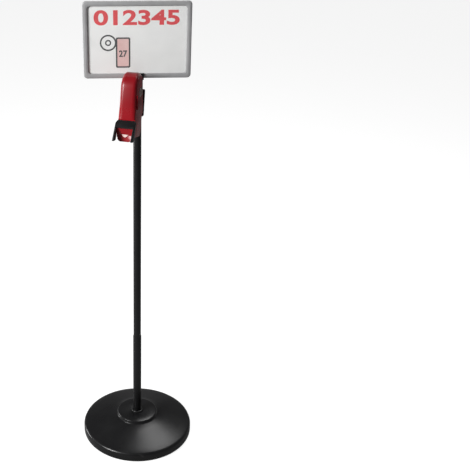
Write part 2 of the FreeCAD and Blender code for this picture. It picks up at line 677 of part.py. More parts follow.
def on_leg_line(edge):
    """Tells whether an edge of the bezel runs along the top of one of its legs."""
    return all(abs(abs(end.X) - D.bezel_half_width.number) < 0.01 and any(
        math.hypot(end.Y - y.number, end.Z - z.number) < 0.01 for y, z in top_line[1:])
               for end in edge.Vertexes)


# Nose bezel: the black hood that caps the nose and runs down both sides of the mouth.
tip_reach = nose_reach + D.tip_run
tip_drop = nose_drop + D.tip_fall
bezel = new_body("nose_bezel", z=D.roll_level)
bezel_top = -(D.lip_drop + D.bezel_rise)
top_line = [(-(hood_reach - D.bezel_lap), bezel_top),
            (-(nose_reach + D.bezel_lap), -(nose_drop - D.bezel_rise)), (-tip_reach, -tip_drop)]
side_block(bezel, top_line + [
    (-(tip_reach - D.tip_flat), -(tip_drop + D.bezel_cap)),
    (-(tip_reach - D.leg_depth), -(tip_drop - D.leg_lift)),
    (-(nose_reach - D.cheek_set), -(nose_drop + D.cheek_drop)),
    (-(hood_reach - D.cheek_set), -(hood_drop + D.cheek_rise))],
           -D.bezel_half_width, D.bezel_half_width)
for side in (-1, 1):
    sketch = draw_corner(new_sketch(bezel, "XZ_Plane"), D.bezel_half_width, bezel_top,
                         D.bezel_corner, side)
    pocket(bezel, sketch, tip_reach + D.mouth_room, reverse=True)
round_edges(bezel, D.bezel_round, on_leg_line)
mouth_front = -(tip_reach + D.mouth_room)
mouth_bottom = -(tip_drop + D.mouth_room)
side_cut(bezel, [(-(D.lip_reach - D.lap_room), -(D.lip_drop - D.lap_rise)),
                 (-D.lip_reach, -(D.lip_drop - D.seat_gap)),
                 (-hood_reach, -(hood_drop - D.seat_gap)),
                 (-(nose_reach + D.seat_gap), -(nose_drop - D.seat_gap)),
                 (-(nose_reach + D.seat_gap), -(nose_drop + D.bezel_cap)),
                 (-(nose_reach + D.bezel_lip), -(nose_drop + D.bezel_cap)),
                 (-(nose_reach + D.bezel_lip), -(nose_drop - D.mouth_brow)),
                 (mouth_front, -(nose_drop - D.mouth_brow)), (mouth_front, mouth_bottom),
                 (-(D.lip_reach - D.lap_room), mouth_bottom)],
         -(half_case + D.seat_gap), half_case + D.seat_gap)

# Chute: the red slide that carries the ticket out and ends in a tongue.
bend_reach, bend_drop = hood_reach, hood_drop + D.mouth_height
tongue_top_reach, tongue_top_drop = bend_reach + D.bend_run, bend_drop + D.bend_fall
tongue_reach, tongue_drop = tongue_top_reach + D.tongue_run, tongue_top_drop + D.tongue_fall
tongue_length = root(D.tongue_run * D.tongue_run + D.tongue_fall * D.tongue_fall)
tongue_out, tongue_up = D.tongue_fall / tongue_length, D.tongue_run / tongue_length
bend_length = root(D.bend_run * D.bend_run + D.bend_fall * D.bend_fall)
bend_out, bend_up = D.bend_fall / bend_length, D.bend_run / bend_length
deep = D.chute_thickness
chute = new_body("chute", z=D.roll_level)
side_block(chute, [
    (-(bend_reach - D.chute_length), D.chute_rise - bend_drop), (-bend_reach, -bend_drop),
    (-tongue_top_reach, -tongue_top_drop), (-tongue_reach, -tongue_drop),
    (-(tongue_reach - deep * tongue_out), -(tongue_drop + deep * tongue_up)),
    (-(tongue_top_reach - deep * tongue_out), -(tongue_top_drop + deep * tongue_up)),
    (-(bend_reach - deep * bend_out / 2), -(bend_drop + deep * bend_up * 1.3)),
    (-(bend_reach - D.chute_length), D.chute_rise - bend_drop - deep)],
           -(inner_half_case - D.seat_gap), inner_half_case - D.seat_gap)
round_edges(chute, D.tongue_round, lambda edge: (
    edge.BoundBox.XLength < 0.01
    and edge.BoundBox.ZMax < -tongue_drop.number + 0.1))

# Tear blade: a steel strip under the hood that the ticket is torn against.
blade = new_body("tear_blade", z=D.roll_level)
hood_in = (hood_reach - D.case_wall / 2, hood_drop + D.case_wall)
nose_length = root(D.nose_run * D.nose_run + D.nose_fall * D.nose_fall)
blade_run = (D.nose_run / nose_length, D.nose_fall / nose_length)
blade_points = []
for along, under in ((D.blade_start, 0), (D.blade_start + D.blade_length, 0),
                     (D.blade_start + D.blade_length, D.blade_thickness),
                     (D.blade_start, D.blade_thickness)):
    blade_points.append((-(hood_in[0] + blade_run[0] * along - blade_run[1] * under),
                         -(hood_in[1] + blade_run[1] * along + blade_run[0] * under)))
side_block(blade, blade_points, -D.blade_half_width, D.blade_half_width)

# Spindle: the fixed hub on the left wall that the ticket roll turns on.
roll_half = D.ticket_width / 2
spindle_radius = D.core_radius - D.core_wall - D.run_gap
spindle_end = roll_half + D.roll_gap
socket_radius = spindle_radius - D.spindle_wall
spindle = new_body("spindle", z=D.roll_level)
side_rod(spindle, D.roll_reach, 0, D.spindle_flange_radius, -inner_half_case, -spindle_end)
side_rod(spindle, D.roll_reach, 0, spindle_radius, -spindle_end, spindle_end)
side_bore(spindle, D.roll_reach, 0, socket_radius, 0, spindle_end)
side_bore(spindle, D.roll_reach, 0, D.spindle_screw_radius, -inner_half_case,
          D.spindle_screw_length - half_case)

# Spindle cap: a disc with a plug that keeps the roll on its spindle.
cap = new_body("spindle_cap", z=D.roll_level)
side_rod(cap, D.roll_reach, 0, D.spindle_cap_radius, spindle_end, spindle_end + D.cap_thickness)
side_rod(cap, D.roll_reach, 0, socket_radius - D.seat_gap / 2, spindle_end - D.cap_plug,
         spindle_end)

# Spindle screw: put in from the left side, outside the case.
spindle_screw = new_body("spindle_screw", z=D.roll_level)
side_rod(spindle_screw, D.roll_reach, 0, D.case_screw_head, -half_case - D.screw_head_height,
         -half_case)
side_rod(spindle_screw, D.roll_reach, 0, D.spindle_screw_radius, -half_case,
         D.spindle_screw_length - half_case)

# Ticket roll: a card core with the paper wound on it.
core = new_body("roll_core", z=D.roll_level)
side_rod(core, D.roll_reach, 0, D.core_radius, -roll_half, roll_half)
side_bore(core, D.roll_reach, 0, D.core_radius - D.core_wall, -roll_half, roll_half)
roll = new_body("ticket_roll", z=D.roll_level)
side_rod(roll, D.roll_reach, 0, D.paper_radius, -roll_half, roll_half)
side_bore(roll, D.roll_reach, 0, D.core_radius, -roll_half, roll_half)

# Ticket strip: the loose end of the paper, round the guide roller and out over the tongue.
strip = new_body("ticket_strip", z=D.roll_level)
ticket_tip_drop = tongue_top_drop + D.ticket_overhang
ticket_tip_reach = tongue_top_reach + D.tongue_run * D.ticket_overhang / D.tongue_fall
sides = []
for near, lift in ((D.roll_gap + D.ticket_thickness, D.seat_gap),
                   (D.roll_gap, D.seat_gap + D.ticket_thickness)):
    bend_radius = D.roller_radius + near
    side = [(-(roller_reach - bend_radius), 0)]
    for turn in (180, 198, 216, 234, 253):
        turn = Size(turn)
        side.append((-(roller_reach + bend_radius * cosine(turn)),
                     bend_radius * sine(turn) - D.roller_drop))
    side += [(-(bend_reach + lift * bend_out / 2), lift * bend_up * 1.3 - bend_drop),
             (-(tongue_top_reach + lift * tongue_out), lift * tongue_up - tongue_top_drop),
             (-(ticket_tip_reach + lift * tongue_out), lift * tongue_up - ticket_tip_drop)]
    sides.append(side)
side_block(strip, sides[0] + sides[1][::-1], -roll_half, roll_half)
round_edges(strip, D.ticket_corner, lambda edge: (
    edge.BoundBox.XLength < 0.01
    and edge.BoundBox.ZMax < -ticket_tip_drop.number + 1))

# Guide roller: turns the paper towards the mouth, on an axle put in from the left side.
guide_roller = new_body("guide_roller", z=D.roll_level)
side_rod(guide_roller, roller_reach, D.roller_drop, D.roller_radius, -D.roller_half_width,
         D.roller_half_width)
side_bore(guide_roller, roller_reach, D.roller_drop, D.axle_radius + D.run_gap,
          -D.roller_half_width, D.roller_half_width)
axle = new_body("roller_axle", z=D.roll_level)
side_rod(axle, roller_reach, D.roller_drop, D.axle_radius, -half_case, inner_half_case)

# Brake: a sprung arm whose shoe keeps the paper from running back.
shoe_reach = D.roll_reach + D.paper_radius + D.roll_gap - D.clear_gap
brake_arm = new_body("brake_arm", z=D.roll_level)
side_rod(brake_arm, D.brake_reach, D.brake_drop, D.brake_boss, -D.brake_half_width,
         D.brake_half_width)
side_block(brake_arm, [(-(D.brake_reach + 1), -(D.brake_drop - D.brake_boss + 0.5)),
                       (-(shoe_reach - 3), -(D.brake_shoe_drop - 4)),
                       (-shoe_reach, -D.brake_shoe_drop),
                       (-(shoe_reach - 1), -(D.brake_shoe_drop + 1)),
                       (-D.brake_reach, -(D.brake_drop + D.brake_boss - 0.5))],
           -D.brake_half_width, D.brake_half_width)
side_bore(brake_arm, D.brake_reach, D.brake_drop, D.brake_pin_radius + D.run_gap,
          -D.brake_half_width, D.brake_half_width)
brake_pin = new_body("brake_pin", z=D.roll_level)
side_rod(brake_pin, D.brake_reach, D.brake_drop, D.brake_pin_radius, -half_case,
         D.brake_half_width + D.clear_gap)
side_rod(brake_pin, D.brake_reach, D.brake_drop, D.brake_pin_radius * 1.6,
         D.brake_half_width + D.clear_gap, D.brake_half_width + D.clear_gap + 1)
brake_spring = new_body("brake_spring", z=D.roll_level)
side_rod(brake_spring, D.brake_reach, D.brake_drop, D.brake_spring_radius,
         -(D.brake_half_width + D.brake_spring_length), -D.brake_half_width)
side_bore(brake_spring, D.brake_reach, D.brake_drop, D.brake_spring_radius - D.latch_wire,
          -(D.brake_half_width + D.brake_spring_length), -D.brake_half_width)

# Pole bracket: the black plate behind the case, with a cradle for the pole.
bracket = new_body("pole_bracket", z=D.roll_level)
sketch = draw_outline(new_sketch(bracket, "XZ_Plane", D.case_back - D.bracket_thickness), [
    (-D.bracket_low_half, -D.bracket_bottom), (D.bracket_low_half, -D.bracket_bottom),
    (D.bracket_top_half, -D.bracket_top), (-D.bracket_top_half, -D.bracket_top)])
pad(bracket, sketch, D.bracket_thickness)
round_edges(bracket, D.bracket_corner, lambda edge: (
    edge.BoundBox.XLength < 0.01 and edge.BoundBox.ZLength < 0.01))
sketch = draw_box(new_sketch(bracket, "XY_Plane", D.cradle_inset - D.bracket_bottom),
                  -D.cradle_half_width, D.cradle_half_width,
                  -(D.case_back - D.bracket_thickness), -D.cradle_back)
pad(bracket, sketch, D.bracket_bottom - D.bracket_top - D.cradle_inset * 2)
sketch = draw_circle(new_sketch(bracket, "XY_Plane", -D.bracket_bottom), 0, 0,
                     D.upper_tube_radius + D.run_gap)
pocket(bracket, sketch, D.bracket_bottom, reverse=True)
sketch = new_sketch(bracket, "XZ_Plane", D.case_back)
for x, z in case_screw_spots:
    draw_circle(sketch, x, z, D.case_screw_radius)
pocket(bracket, sketch, D.bracket_thickness)
strap_levels = (-D.strap_high, -D.strap_low)
strap_screw_spots = [(side * D.strap_screw_reach, level)
                     for side in (-1, 1) for level in strap_levels]
sketch = new_sketch(bracket, "XZ_Plane", D.cradle_back)
for x, z in strap_screw_spots:
    draw_circle(sketch, x, z, D.strap_screw_radius)
pocket(bracket, sketch, D.strap_screw_length, reverse=True)

# Straps: two bent steel straps that hold the bracket on the pole.
strap_inner = D.upper_tube_radius + D.run_gap
strap_outer = strap_inner + D.strap_thickness
strap_back = D.strap_thickness - D.cradle_back
for label, level in zip(("upper_strap", "lower_strap"), strap_levels):
    strap = new_body(label, z=D.roll_level)
    low = level - D.strap_width / 2
    sketch = draw_circle(new_sketch(strap, "XY_Plane", low), 0, 0, strap_outer)
    pad(strap, sketch, D.strap_width)
    sketch = draw_box(new_sketch(strap, "XY_Plane", low), -D.strap_ear, D.strap_ear,
                      -D.cradle_back, strap_back)
    pad(strap, sketch, D.strap_width)
    sketch = draw_circle(new_sketch(strap, "XY_Plane", low), 0, 0, strap_inner)
    pocket(strap, sketch, D.strap_width, reverse=True)
    sketch = draw_box(new_sketch(strap, "XY_Plane", low), -strap_outer, strap_outer,
                      -strap_outer, -D.cradle_back)
    pocket(strap, sketch, D.strap_width, reverse=True)
    sketch = new_sketch(strap, "XZ_Plane", D.cradle_back)
    for side in (-1, 1):
        draw_circle(sketch, side * D.strap_screw_reach, level,
                    D.strap_screw_radius + D.seat_gap / 2)
    pocket(strap, sketch, D.strap_thickness)

# Strap screws: four, from behind through the straps into the bracket.
strap_screws = new_body("strap_screws", z=D.roll_level)
for radius, length, reverse in ((D.strap_screw_head, D.screw_head_height, True),
                                (D.strap_screw_radius, D.strap_screw_length, False)):
    sketch = new_sketch(strap_screws, "XZ_Plane", -strap_back)
    for x, z in strap_screw_spots:
        draw_circle(sketch, x, z, radius)
    pad(strap_screws, sketch, length, reverse=reverse)

# Case screws: three, from inside the case through its back into the bracket.
case_screws = new_body("case_screws", z=D.roll_level)
for radius, length, reverse in ((D.case_screw_head, D.screw_head_height, False),
                                (D.case_screw_radius, D.case_screw_length, True)):
    sketch = new_sketch(case_screws, "XZ_Plane", D.case_back + D.case_wall)
    for x, z in case_screw_spots:
        draw_circle(sketch, x, z, radius)
    pad(case_screws, sketch, length, reverse=reverse)

doc.recompute()
helpers = (outer, hollow, opening, plug)
pieces = [obj for obj in doc.Objects
          if obj.isDerivedFrom("PartDesign::Body") and obj not in helpers]
failed = [obj.Name for obj in doc.Objects if "Invalid" in obj.State or "Error" in obj.State]
failed += [piece.Name for piece in pieces if piece.Shape.isNull() or not piece.Shape.isValid()]
if failed:
    raise RuntimeError("failed: " + ", ".join(failed))
os.makedirs("parts", exist_ok=True)
for piece in pieces:
    piece.Shape.exportStep(f"parts/{piece.Label}.step")
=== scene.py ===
import math

import bpy
from mathutils import Matrix, Vector


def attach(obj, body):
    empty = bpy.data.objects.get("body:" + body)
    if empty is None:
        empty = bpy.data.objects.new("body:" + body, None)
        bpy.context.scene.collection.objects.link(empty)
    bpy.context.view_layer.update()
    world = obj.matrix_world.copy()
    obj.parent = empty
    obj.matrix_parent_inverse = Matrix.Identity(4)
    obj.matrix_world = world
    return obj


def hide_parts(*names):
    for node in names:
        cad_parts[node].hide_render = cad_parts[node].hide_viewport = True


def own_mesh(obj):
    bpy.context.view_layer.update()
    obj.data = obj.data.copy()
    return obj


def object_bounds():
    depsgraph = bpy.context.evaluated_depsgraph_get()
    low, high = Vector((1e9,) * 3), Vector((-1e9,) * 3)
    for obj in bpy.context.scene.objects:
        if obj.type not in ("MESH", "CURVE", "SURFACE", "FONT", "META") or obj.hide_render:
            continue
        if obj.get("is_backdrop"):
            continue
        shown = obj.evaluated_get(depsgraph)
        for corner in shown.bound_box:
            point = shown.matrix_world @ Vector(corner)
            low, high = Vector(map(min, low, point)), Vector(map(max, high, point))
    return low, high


# Take a number dispenser on a floor stand: a red case on a black pole with a round foot,
# and a framed card above it. Sizes are written in millimetres and multiplied by mm.
mm = 0.001
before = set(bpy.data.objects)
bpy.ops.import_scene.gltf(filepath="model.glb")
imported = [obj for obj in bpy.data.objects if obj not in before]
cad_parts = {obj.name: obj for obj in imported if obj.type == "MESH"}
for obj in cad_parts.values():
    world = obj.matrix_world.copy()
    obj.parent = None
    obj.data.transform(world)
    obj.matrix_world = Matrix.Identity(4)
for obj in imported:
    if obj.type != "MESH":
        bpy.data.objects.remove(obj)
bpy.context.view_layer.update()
bpy.context.scene.view_settings.view_transform = "Standard"


# Base weight: a rough cast iron disc under the cover, painted over with thin black primer.
# It keeps its solid and only gets its finish.
def new_group(name, inputs, outputs):
    """An empty shader node group with named sockets, its input and output nodes placed."""
    group = bpy.data.node_groups.new(name, "ShaderNodeTree")
    for socket, kind, value in inputs:
        made = group.interface.new_socket(socket, in_out="INPUT", socket_type=kind)
        made.default_value = value
    for socket, kind in outputs:
        group.interface.new_socket(socket, in_out="OUTPUT", socket_type=kind)
    return group, group.nodes.new("NodeGroupInput"), group.nodes.new("NodeGroupOutput")


def plug(tree, source, target):
    """Links one socket to another."""
    tree.links.new(source, target)


def noise(tree, coordinates, scale, detail=4.0):
    """A noise texture on the given coordinates."""
    node = tree.nodes.new("ShaderNodeTexNoise")
    node.inputs["Detail"].default_value = detail
    node.inputs["Roughness"].default_value = 0.55
    plug(tree, coordinates, node.inputs["Vector"])
    if isinstance(scale, (int, float)):
        node.inputs["Scale"].default_value = scale
    else:
        plug(tree, scale, node.inputs["Scale"])
    return node


def spread(tree, value, low, high, to_low, to_high):
    """Maps a value from one span to another, held at both ends."""
    node = tree.nodes.new("ShaderNodeMapRange")
    for socket, number in (("From Min", low), ("From Max", high),
                           ("To Min", to_low), ("To Max", to_high)):
        if isinstance(number, (int, float)):
            node.inputs[socket].default_value = number
        else:
            plug(tree, number, node.inputs[socket])
    plug(tree, value, node.inputs["Value"])
    return node.outputs["Result"]


def blend_colours(tree, factor, first, second):
    """Mixes two colour sockets or colours by a mask."""
    node = tree.nodes.new("ShaderNodeMix")
    node.data_type = "RGBA"
    plug(tree, factor, node.inputs["Factor"])
    for socket, colour in (("A", first), ("B", second)):
        target = next(s for s in node.inputs if s.name == socket and s.type == "RGBA")
        if isinstance(colour, tuple):
            target.default_value = (*colour, 1)
        else:
            plug(tree, colour, target)
    return next(s for s in node.outputs if s.type == "RGBA")


# cloudy: slow drift of colour and gloss over a surface, as handling and moulding leave it
cloudy, take, give = new_group(
    "cloudy", [("Colour", "NodeSocketColor", (0.5, 0.5, 0.5, 1)),
               ("Drift Colour", "NodeSocketColor", (0.4, 0.4, 0.4, 1)),
               ("Scale", "NodeSocketFloat", 20.0), ("Low Roughness", "NodeSocketFloat", 0.3),
               ("High Roughness", "NodeSocketFloat", 0.4)],
    [("Colour", "NodeSocketColor"), ("Roughness", "NodeSocketFloat")])
place = cloudy.nodes.new("ShaderNodeTexCoord")
broad = noise(cloudy, place.outputs["Object"], take.outputs["Scale"])
fine = noise(cloudy, place.outputs["Object"], 320.0, 2.0)
plug(cloudy, blend_colours(cloudy, spread(cloudy, broad.outputs["Fac"], 0.38, 0.66, 0.0, 1.0),
                           take.outputs["Colour"], take.outputs["Drift Colour"]),
     give.inputs["Colour"])
both = cloudy.nodes.new("ShaderNodeMath")
both.operation = "MULTIPLY_ADD"
plug(cloudy, fine.outputs["Fac"], both.inputs[0])
both.inputs[1].default_value = 0.35
plug(cloudy, broad.outputs["Fac"], both.inputs[2])
plug(cloudy, spread(cloudy, both.outputs["Value"], 0.45, 0.95, take.outputs["Low Roughness"],
                    take.outputs["High Roughness"]), give.inputs["Roughness"])

# grain: the height of a fine surface texture, such as powder paint, moulded plastic or casting
grain, take, give = new_group(
    "grain", [("Scale", "NodeSocketFloat", 900.0), ("Ripple Scale", "NodeSocketFloat", 60.0),
              ("Ripple", "NodeSocketFloat", 0.3)], [("Height", "NodeSocketFloat")])
place = grain.nodes.new("ShaderNodeTexCoord")
speck = noise(grain, place.outputs["Object"], take.outputs["Scale"], 3.0)
ripple = noise(grain, place.outputs["Object"], take.outputs["Ripple Scale"], 2.0)
both = grain.nodes.new("ShaderNodeMath")
both.operation = "MULTIPLY_ADD"
plug(grain, ripple.outputs["Fac"], both.inputs[0])
plug(grain, take.outputs["Ripple"], both.inputs[1])
plug(grain, speck.outputs["Fac"], both.inputs[2])
plug(grain, both.outputs["Value"], give.inputs["Height"])

# scuffs: a mask of short fine scratches and rubbed spots, thin on all sides of a piece
scuffs, take, give = new_group(
    "scuffs", [("Scale", "NodeSocketFloat", 12.0), ("Amount", "NodeSocketFloat", 0.4)],
    [("Mask", "NodeSocketFloat")])
place = scuffs.nodes.new("ShaderNodeTexCoord")
stretch = scuffs.nodes.new("ShaderNodeMapping")
stretch.inputs["Rotation"].default_value = (0.5, 0.3, 0.8)
stretch.inputs["Scale"].default_value = (1.0, 14.0, 2.2)
plug(scuffs, place.outputs["Object"], stretch.inputs["Vector"])
lines = noise(scuffs, stretch.outputs["Vector"], take.outputs["Scale"], 3.0)
patches = noise(scuffs, place.outputs["Object"], 30.0, 2.0)
thin = spread(scuffs, lines.outputs["Fac"], 0.64, 0.7, 0.0, 1.0)
where = spread(scuffs, patches.outputs["Fac"], 0.5, 0.62, 0.0, take.outputs["Amount"])
both = scuffs.nodes.new("ShaderNodeMath")
both.operation = "MULTIPLY"
plug(scuffs, thin, both.inputs[0])
plug(scuffs, where, both.inputs[1])
plug(scuffs, both.outputs["Value"], give.inputs["Mask"])


def use_group(tree, group, **values):
    """Places a node group in a material with its values set."""
    node = tree.nodes.new("ShaderNodeGroup")
    node.node_tree = group
    for name, value in values.items():
        socket = node.inputs[name.replace("_", " ")]
        socket.default_value = (*value, 1) if isinstance(value, tuple) else value
    return node


def surface(name, colour, drift, roughness, grain_scale=900.0, grain_depth=0.1, ripple=0.3,
            scuff=None, cloud_scale=20.0, **sockets):
    """A material: drifting colour and gloss, a fine grain, and scuffs where a colour is given."""
    material = bpy.data.materials.new(name)
    material.use_nodes = True
    tree = material.node_tree
    shader = tree.nodes["Principled BSDF"]
    for socket, value in sockets.items():
        shader.inputs[socket.replace("_", " ")].default_value = value
    body = use_group(tree, cloudy, Colour=colour, Drift_Colour=drift, Scale=cloud_scale,
                     Low_Roughness=roughness[0], High_Roughness=roughness[1])
    shade = body.outputs["Colour"]
    if scuff:
        marks = use_group(tree, scuffs)
        shade = blend_colours(tree, marks.outputs["Mask"], shade, scuff)
    plug(tree, shade, shader.inputs["Base Color"])
    plug(tree, body.outputs["Roughness"], shader.inputs["Roughness"])
    texture = use_group(tree, grain, Scale=grain_scale, Ripple=ripple)
    bump = tree.nodes.new("ShaderNodeBump")
    bump.inputs["Strength"].default_value = grain_depth
    bump.inputs["Distance"].default_value = 0.2 * mm
    plug(tree, texture.outputs["Height"], bump.inputs["Height"])
    plug(tree, bump.outputs["Normal"], shader.inputs["Normal"])
    return material


def paint_node(node, material):
    """Gives a carried over solid its material."""
    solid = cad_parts[node]
    solid.data.materials.clear()
    solid.data.materials.append(material)


cast_iron = surface("cast iron", (0.035, 0.035, 0.036), (0.06, 0.052, 0.045), (0.6, 0.85),
                    grain_scale=500.0, grain_depth=0.6, ripple=0.8)
paint_node("base_weight", cast_iron)

# Feet: six black rubber pads, cut from sheet and glued into the weight.
foot_rubber = surface("foot rubber", (0.02, 0.02, 0.02), (0.035, 0.034, 0.032), (0.75, 0.9),
                      grain_scale=1400.0, grain_depth=0.35)
paint_node("base_feet", foot_rubber)


# Base cover: a pressed steel cone with a raised middle and a rolled rim, in black satin paint.
# It is turned up from one ring, step by step, and its corners are rounded.
def deselect():
    """Leaves edit mode and selects nothing."""
    if bpy.context.object and bpy.context.object.mode == "EDIT":
        bpy.ops.object.mode_set(mode="OBJECT")
    bpy.ops.object.select_all(action="DESELECT")


def turn_up(name, steps, sides=96):
    """A closed turned piece: one ring is drawn up through each radius and height in turn."""
    deselect()
    radius, height = steps[0]
    bpy.ops.mesh.primitive_circle_add(vertices=sides, radius=radius * mm,
                                      location=(0, 0, height * mm))
    piece = bpy.context.object
    piece.name = name
    bpy.ops.object.transform_apply(location=True)
    bpy.ops.object.mode_set(mode="EDIT")
    bpy.ops.mesh.select_all(action="SELECT")
    for next_radius, next_height in steps[1:]:
        rise = (next_height - height) * mm
        bpy.ops.mesh.extrude_region_move(TRANSFORM_OT_translate={"value": (0, 0, rise)})
        ratio = next_radius / radius
        bpy.ops.transform.resize(value=(ratio, ratio, 1),
                                 center_override=(0, 0, next_height * mm))
        radius, height = next_radius, next_height
    bpy.ops.mesh.select_all(action="SELECT")
    bpy.ops.mesh.remove_doubles(threshold=0.01 * mm)
    bpy.ops.mesh.normals_make_consistent(inside=False)
    bpy.ops.object.mode_set(mode="OBJECT")
    return piece


def soften(piece, width, segments=3, angle=30):
    """Rounds the sharp edges of a piece and smooths what lies between them."""
    bevel = piece.modifiers.new("soften", "BEVEL")
    bevel.width = width * mm
    bevel.segments = segments
    bevel.limit_method = "ANGLE"
    bevel.angle_limit = math.radians(angle)
    deselect()
    piece.select_set(True)
    bpy.context.view_layer.objects.active = piece
    bpy.ops.object.modifier_apply(modifier="soften")
    bpy.ops.object.shade_smooth_by_angle(angle=math.radians(40))
    return piece


def settle(piece, material, body, slot, *nodes):
    """Applies a piece's place, paints it, ties it to its body, and hides the solids it shows."""
    deselect()
    piece.select_set(True)
    bpy.context.view_layer.objects.active = piece
    bpy.ops.object.transform_apply(location=True, rotation=True, scale=True)
    piece.data.name = piece.name
    piece.data.materials.clear()
    piece.data.materials.append(material)
    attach(piece, body)
    if nodes:
        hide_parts(*nodes)
    return piece


rim, cone, boss, pole_hole = 188, 71, 67, 14.6
black_paint = surface("black paint", (0.006, 0.006, 0.0065), (0.009, 0.009, 0.0095),
                      (0.26, 0.36), grain_scale=700.0, grain_depth=0.1, ripple=0.5,
                      scuff=(0.03, 0.03, 0.03), cloud_scale=9.0, Specular_IOR_Level=0.3)
base = turn_up("base_cover_pressing", [
    (pole_hole, 73), (pole_hole, 76), (40, 76), (boss - 2, 76), (boss, 75), (cone - 0.6, 66.8),
    (cone + 1.5, 65.4), (100, 57.2), (130, 48.2), (160, 39.2), (rim - 9, 33.4), (rim - 5, 31.6),
    (rim - 1.8, 28.6), (rim, 24), (rim, 2.8), (rim - 0.6, 2.5), (rim - 2.4, 2.5),
    (rim - 3, 2.8), (rim - 3, 16), (rim - 8, 16.2), (rim - 9, 29), (cone, 62), (boss - 3, 73),
    (pole_hole, 73)], sides=160)
soften(base, 0.8, 2)
settle(base, black_paint, "stand", "black_paint", "base_cover")

# Foot collar: a soft black plastic ring that covers the hole round the pole.
black_plastic = surface("black plastic", (0.008, 0.008, 0.0085), (0.012, 0.012, 0.0125),
                        (0.38, 0.52), grain_scale=1300.0, grain_depth=0.2,
                        Specular_IOR_Level=0.35)
collar = turn_up("foot_collar_ring", [(14.3, 76), (20, 76), (20, 78), (18.6, 80.4), (16.6, 81),
                                      (14.3, 81), (14.3, 76)])
soften(collar, 0.5)
settle(collar, black_plastic, "stand", "black_plastic", "foot_collar")

# Bolt, washer and plug: zinc plated steel under the foot, out of sight when it stands.
zinc = surface("zinc plating", (0.5, 0.5, 0.5), (0.38, 0.39, 0.37), (0.25, 0.45),
               grain_scale=800.0, grain_depth=0.15, Metallic=1.0)
for node in ("foot_plug", "base_washer", "base_bolt"):
    paint_node(node, zinc)

# Pole: two black painted steel tubes. The upper one stands inside the lower one, whose top
# edge is rolled in a little.
lower_tube, lower_bore, lower_top = 14, 12.8, 389
upper_tube, upper_bore, upper_top = 12.5, 11, 1285
lower_pole = turn_up("lower_pole", [
    (lower_bore, 28), (lower_tube, 28), (lower_tube, 150), (lower_tube, 270),
    (lower_tube, lower_top - 1.6), (lower_tube - 0.3, lower_top - 0.4),
    (lower_tube - 0.9, lower_top), (lower_bore, lower_top), (lower_bore, 28)], sides=64)
soften(lower_pole, 0.3, 2)
settle(lower_pole, black_paint, "stand", "black_paint", "lower_tube")
upper_pole = turn_up("upper_pole", [
    (upper_bore, 309), (upper_tube, 309), (upper_tube, lower_top), (upper_tube, 620),
    (upper_tube, 850), (upper_tube, 1080), (upper_tube, upper_top), (upper_bore, upper_top),
    (upper_bore, 309)], sides=64)
soften(upper_pole, 0.3, 2)
settle(upper_pole, black_paint, "stand", "black_paint", "upper_tube")
paint_node("tube_stop", black_plastic)


# Screws: zinc plated pan heads with a cross recess, each kind modelled once and copied.
# The one at the pole's joint comes from behind.
def carve(piece, cutter, how="DIFFERENCE"):
    """Cuts, keeps or adds the second object's room, and removes it."""
    deselect()
    cut = piece.modifiers.new("carve", "BOOLEAN")
    cut.operation = how
    cut.object = cutter
    cut.solver = "EXACT"
    bpy.context.view_layer.objects.active = piece
    bpy.ops.object.modifier_apply(modifier="carve")
    bpy.data.objects.remove(cutter)
    return piece


def pan_screw(name, head, high, radius, long):
    """A screw whose head stands on the XY plane, with a domed top and a cross pressed in."""
    screw = turn_up(name, [(0.01, -long), (radius * 0.7, -long), (radius, -long + 1),
                           (radius, 0), (head, 0), (head, high * 0.4), (head * 0.82, high * 0.85),
                           (head * 0.45, high), (0.01, high)], sides=32)
    for turn in (0, 90):
        deselect()
        bpy.ops.mesh.primitive_cube_add(size=1, location=(0, 0, high * mm),
                                        rotation=(0, 0, math.radians(turn)))
        recess = bpy.context.object
        recess.scale = (head * 1.1 * mm, head * 0.24 * mm, high * 1.1 * mm)
        carve(screw, recess)
    return soften(screw, 0.12, 2)


def place_screws(kind, name, spots, turn, body, node):
    """Copies a screw to each spot, turned, makes the copies one piece and drops the first."""
    copies = []
    for spot in spots:
        copy = kind.copy()
        copy.data = kind.data.copy()
        bpy.context.collection.objects.link(copy)
        copy.location = Vector(spot) * mm
        copy.rotation_euler = [math.radians(angle) for angle in turn]
        copies.append(copy)
    deselect()
    for copy in copies:
        copy.select_set(True)
    bpy.context.view_layer.objects.active = copies[0]
    if len(copies) > 1:
        bpy.ops.object.join()
    copies[0].name = name
    bpy.data.objects.remove(kind)
    return settle(copies[0], zinc, body, "plated_steel", node)


place_screws(pan_screw("joint_kind", 3.8, 2, 2, 9), "joint_pan_screw", [(0, lower_tube, 349)],
             (-90, 0, 0), "stand", "joint_screw")


# Card frame: a grey moulded frame of one bead all round, with a groove for the card and a slot
# in its top member. One ring is drawn on from the outside, over the bead, to the groove.
sign_turn, sign_bottom, sign_width, sign_height = 17, 1292, 313, 226
sign_middle = sign_bottom + sign_height / 2
member_width, groove_depth, groove_half, card_gap = 14.5, 5, 1.8, 0.4


def rounded_ring(width, height, radius, depth):
    """A flat ring of edges, a rectangle with rounded corners that stands in the XZ plane."""
    deselect()
    bpy.ops.mesh.primitive_plane_add(size=1, location=(0, depth * mm, 0),
                                     rotation=(math.radians(90), 0, 0))
    ring = bpy.context.object
    ring.scale = (width * mm, height * mm, 1)
    bpy.ops.object.transform_apply(location=True, rotation=True, scale=True)
    bpy.ops.object.mode_set(mode="EDIT")
    bpy.ops.mesh.select_all(action="SELECT")
    bpy.ops.mesh.bevel(offset=radius * mm, segments=7, affect="VERTICES")
    bpy.ops.mesh.select_all(action="SELECT")
    bpy.ops.mesh.delete(type="ONLY_FACE")
    bpy.ops.object.mode_set(mode="OBJECT")
    return ring


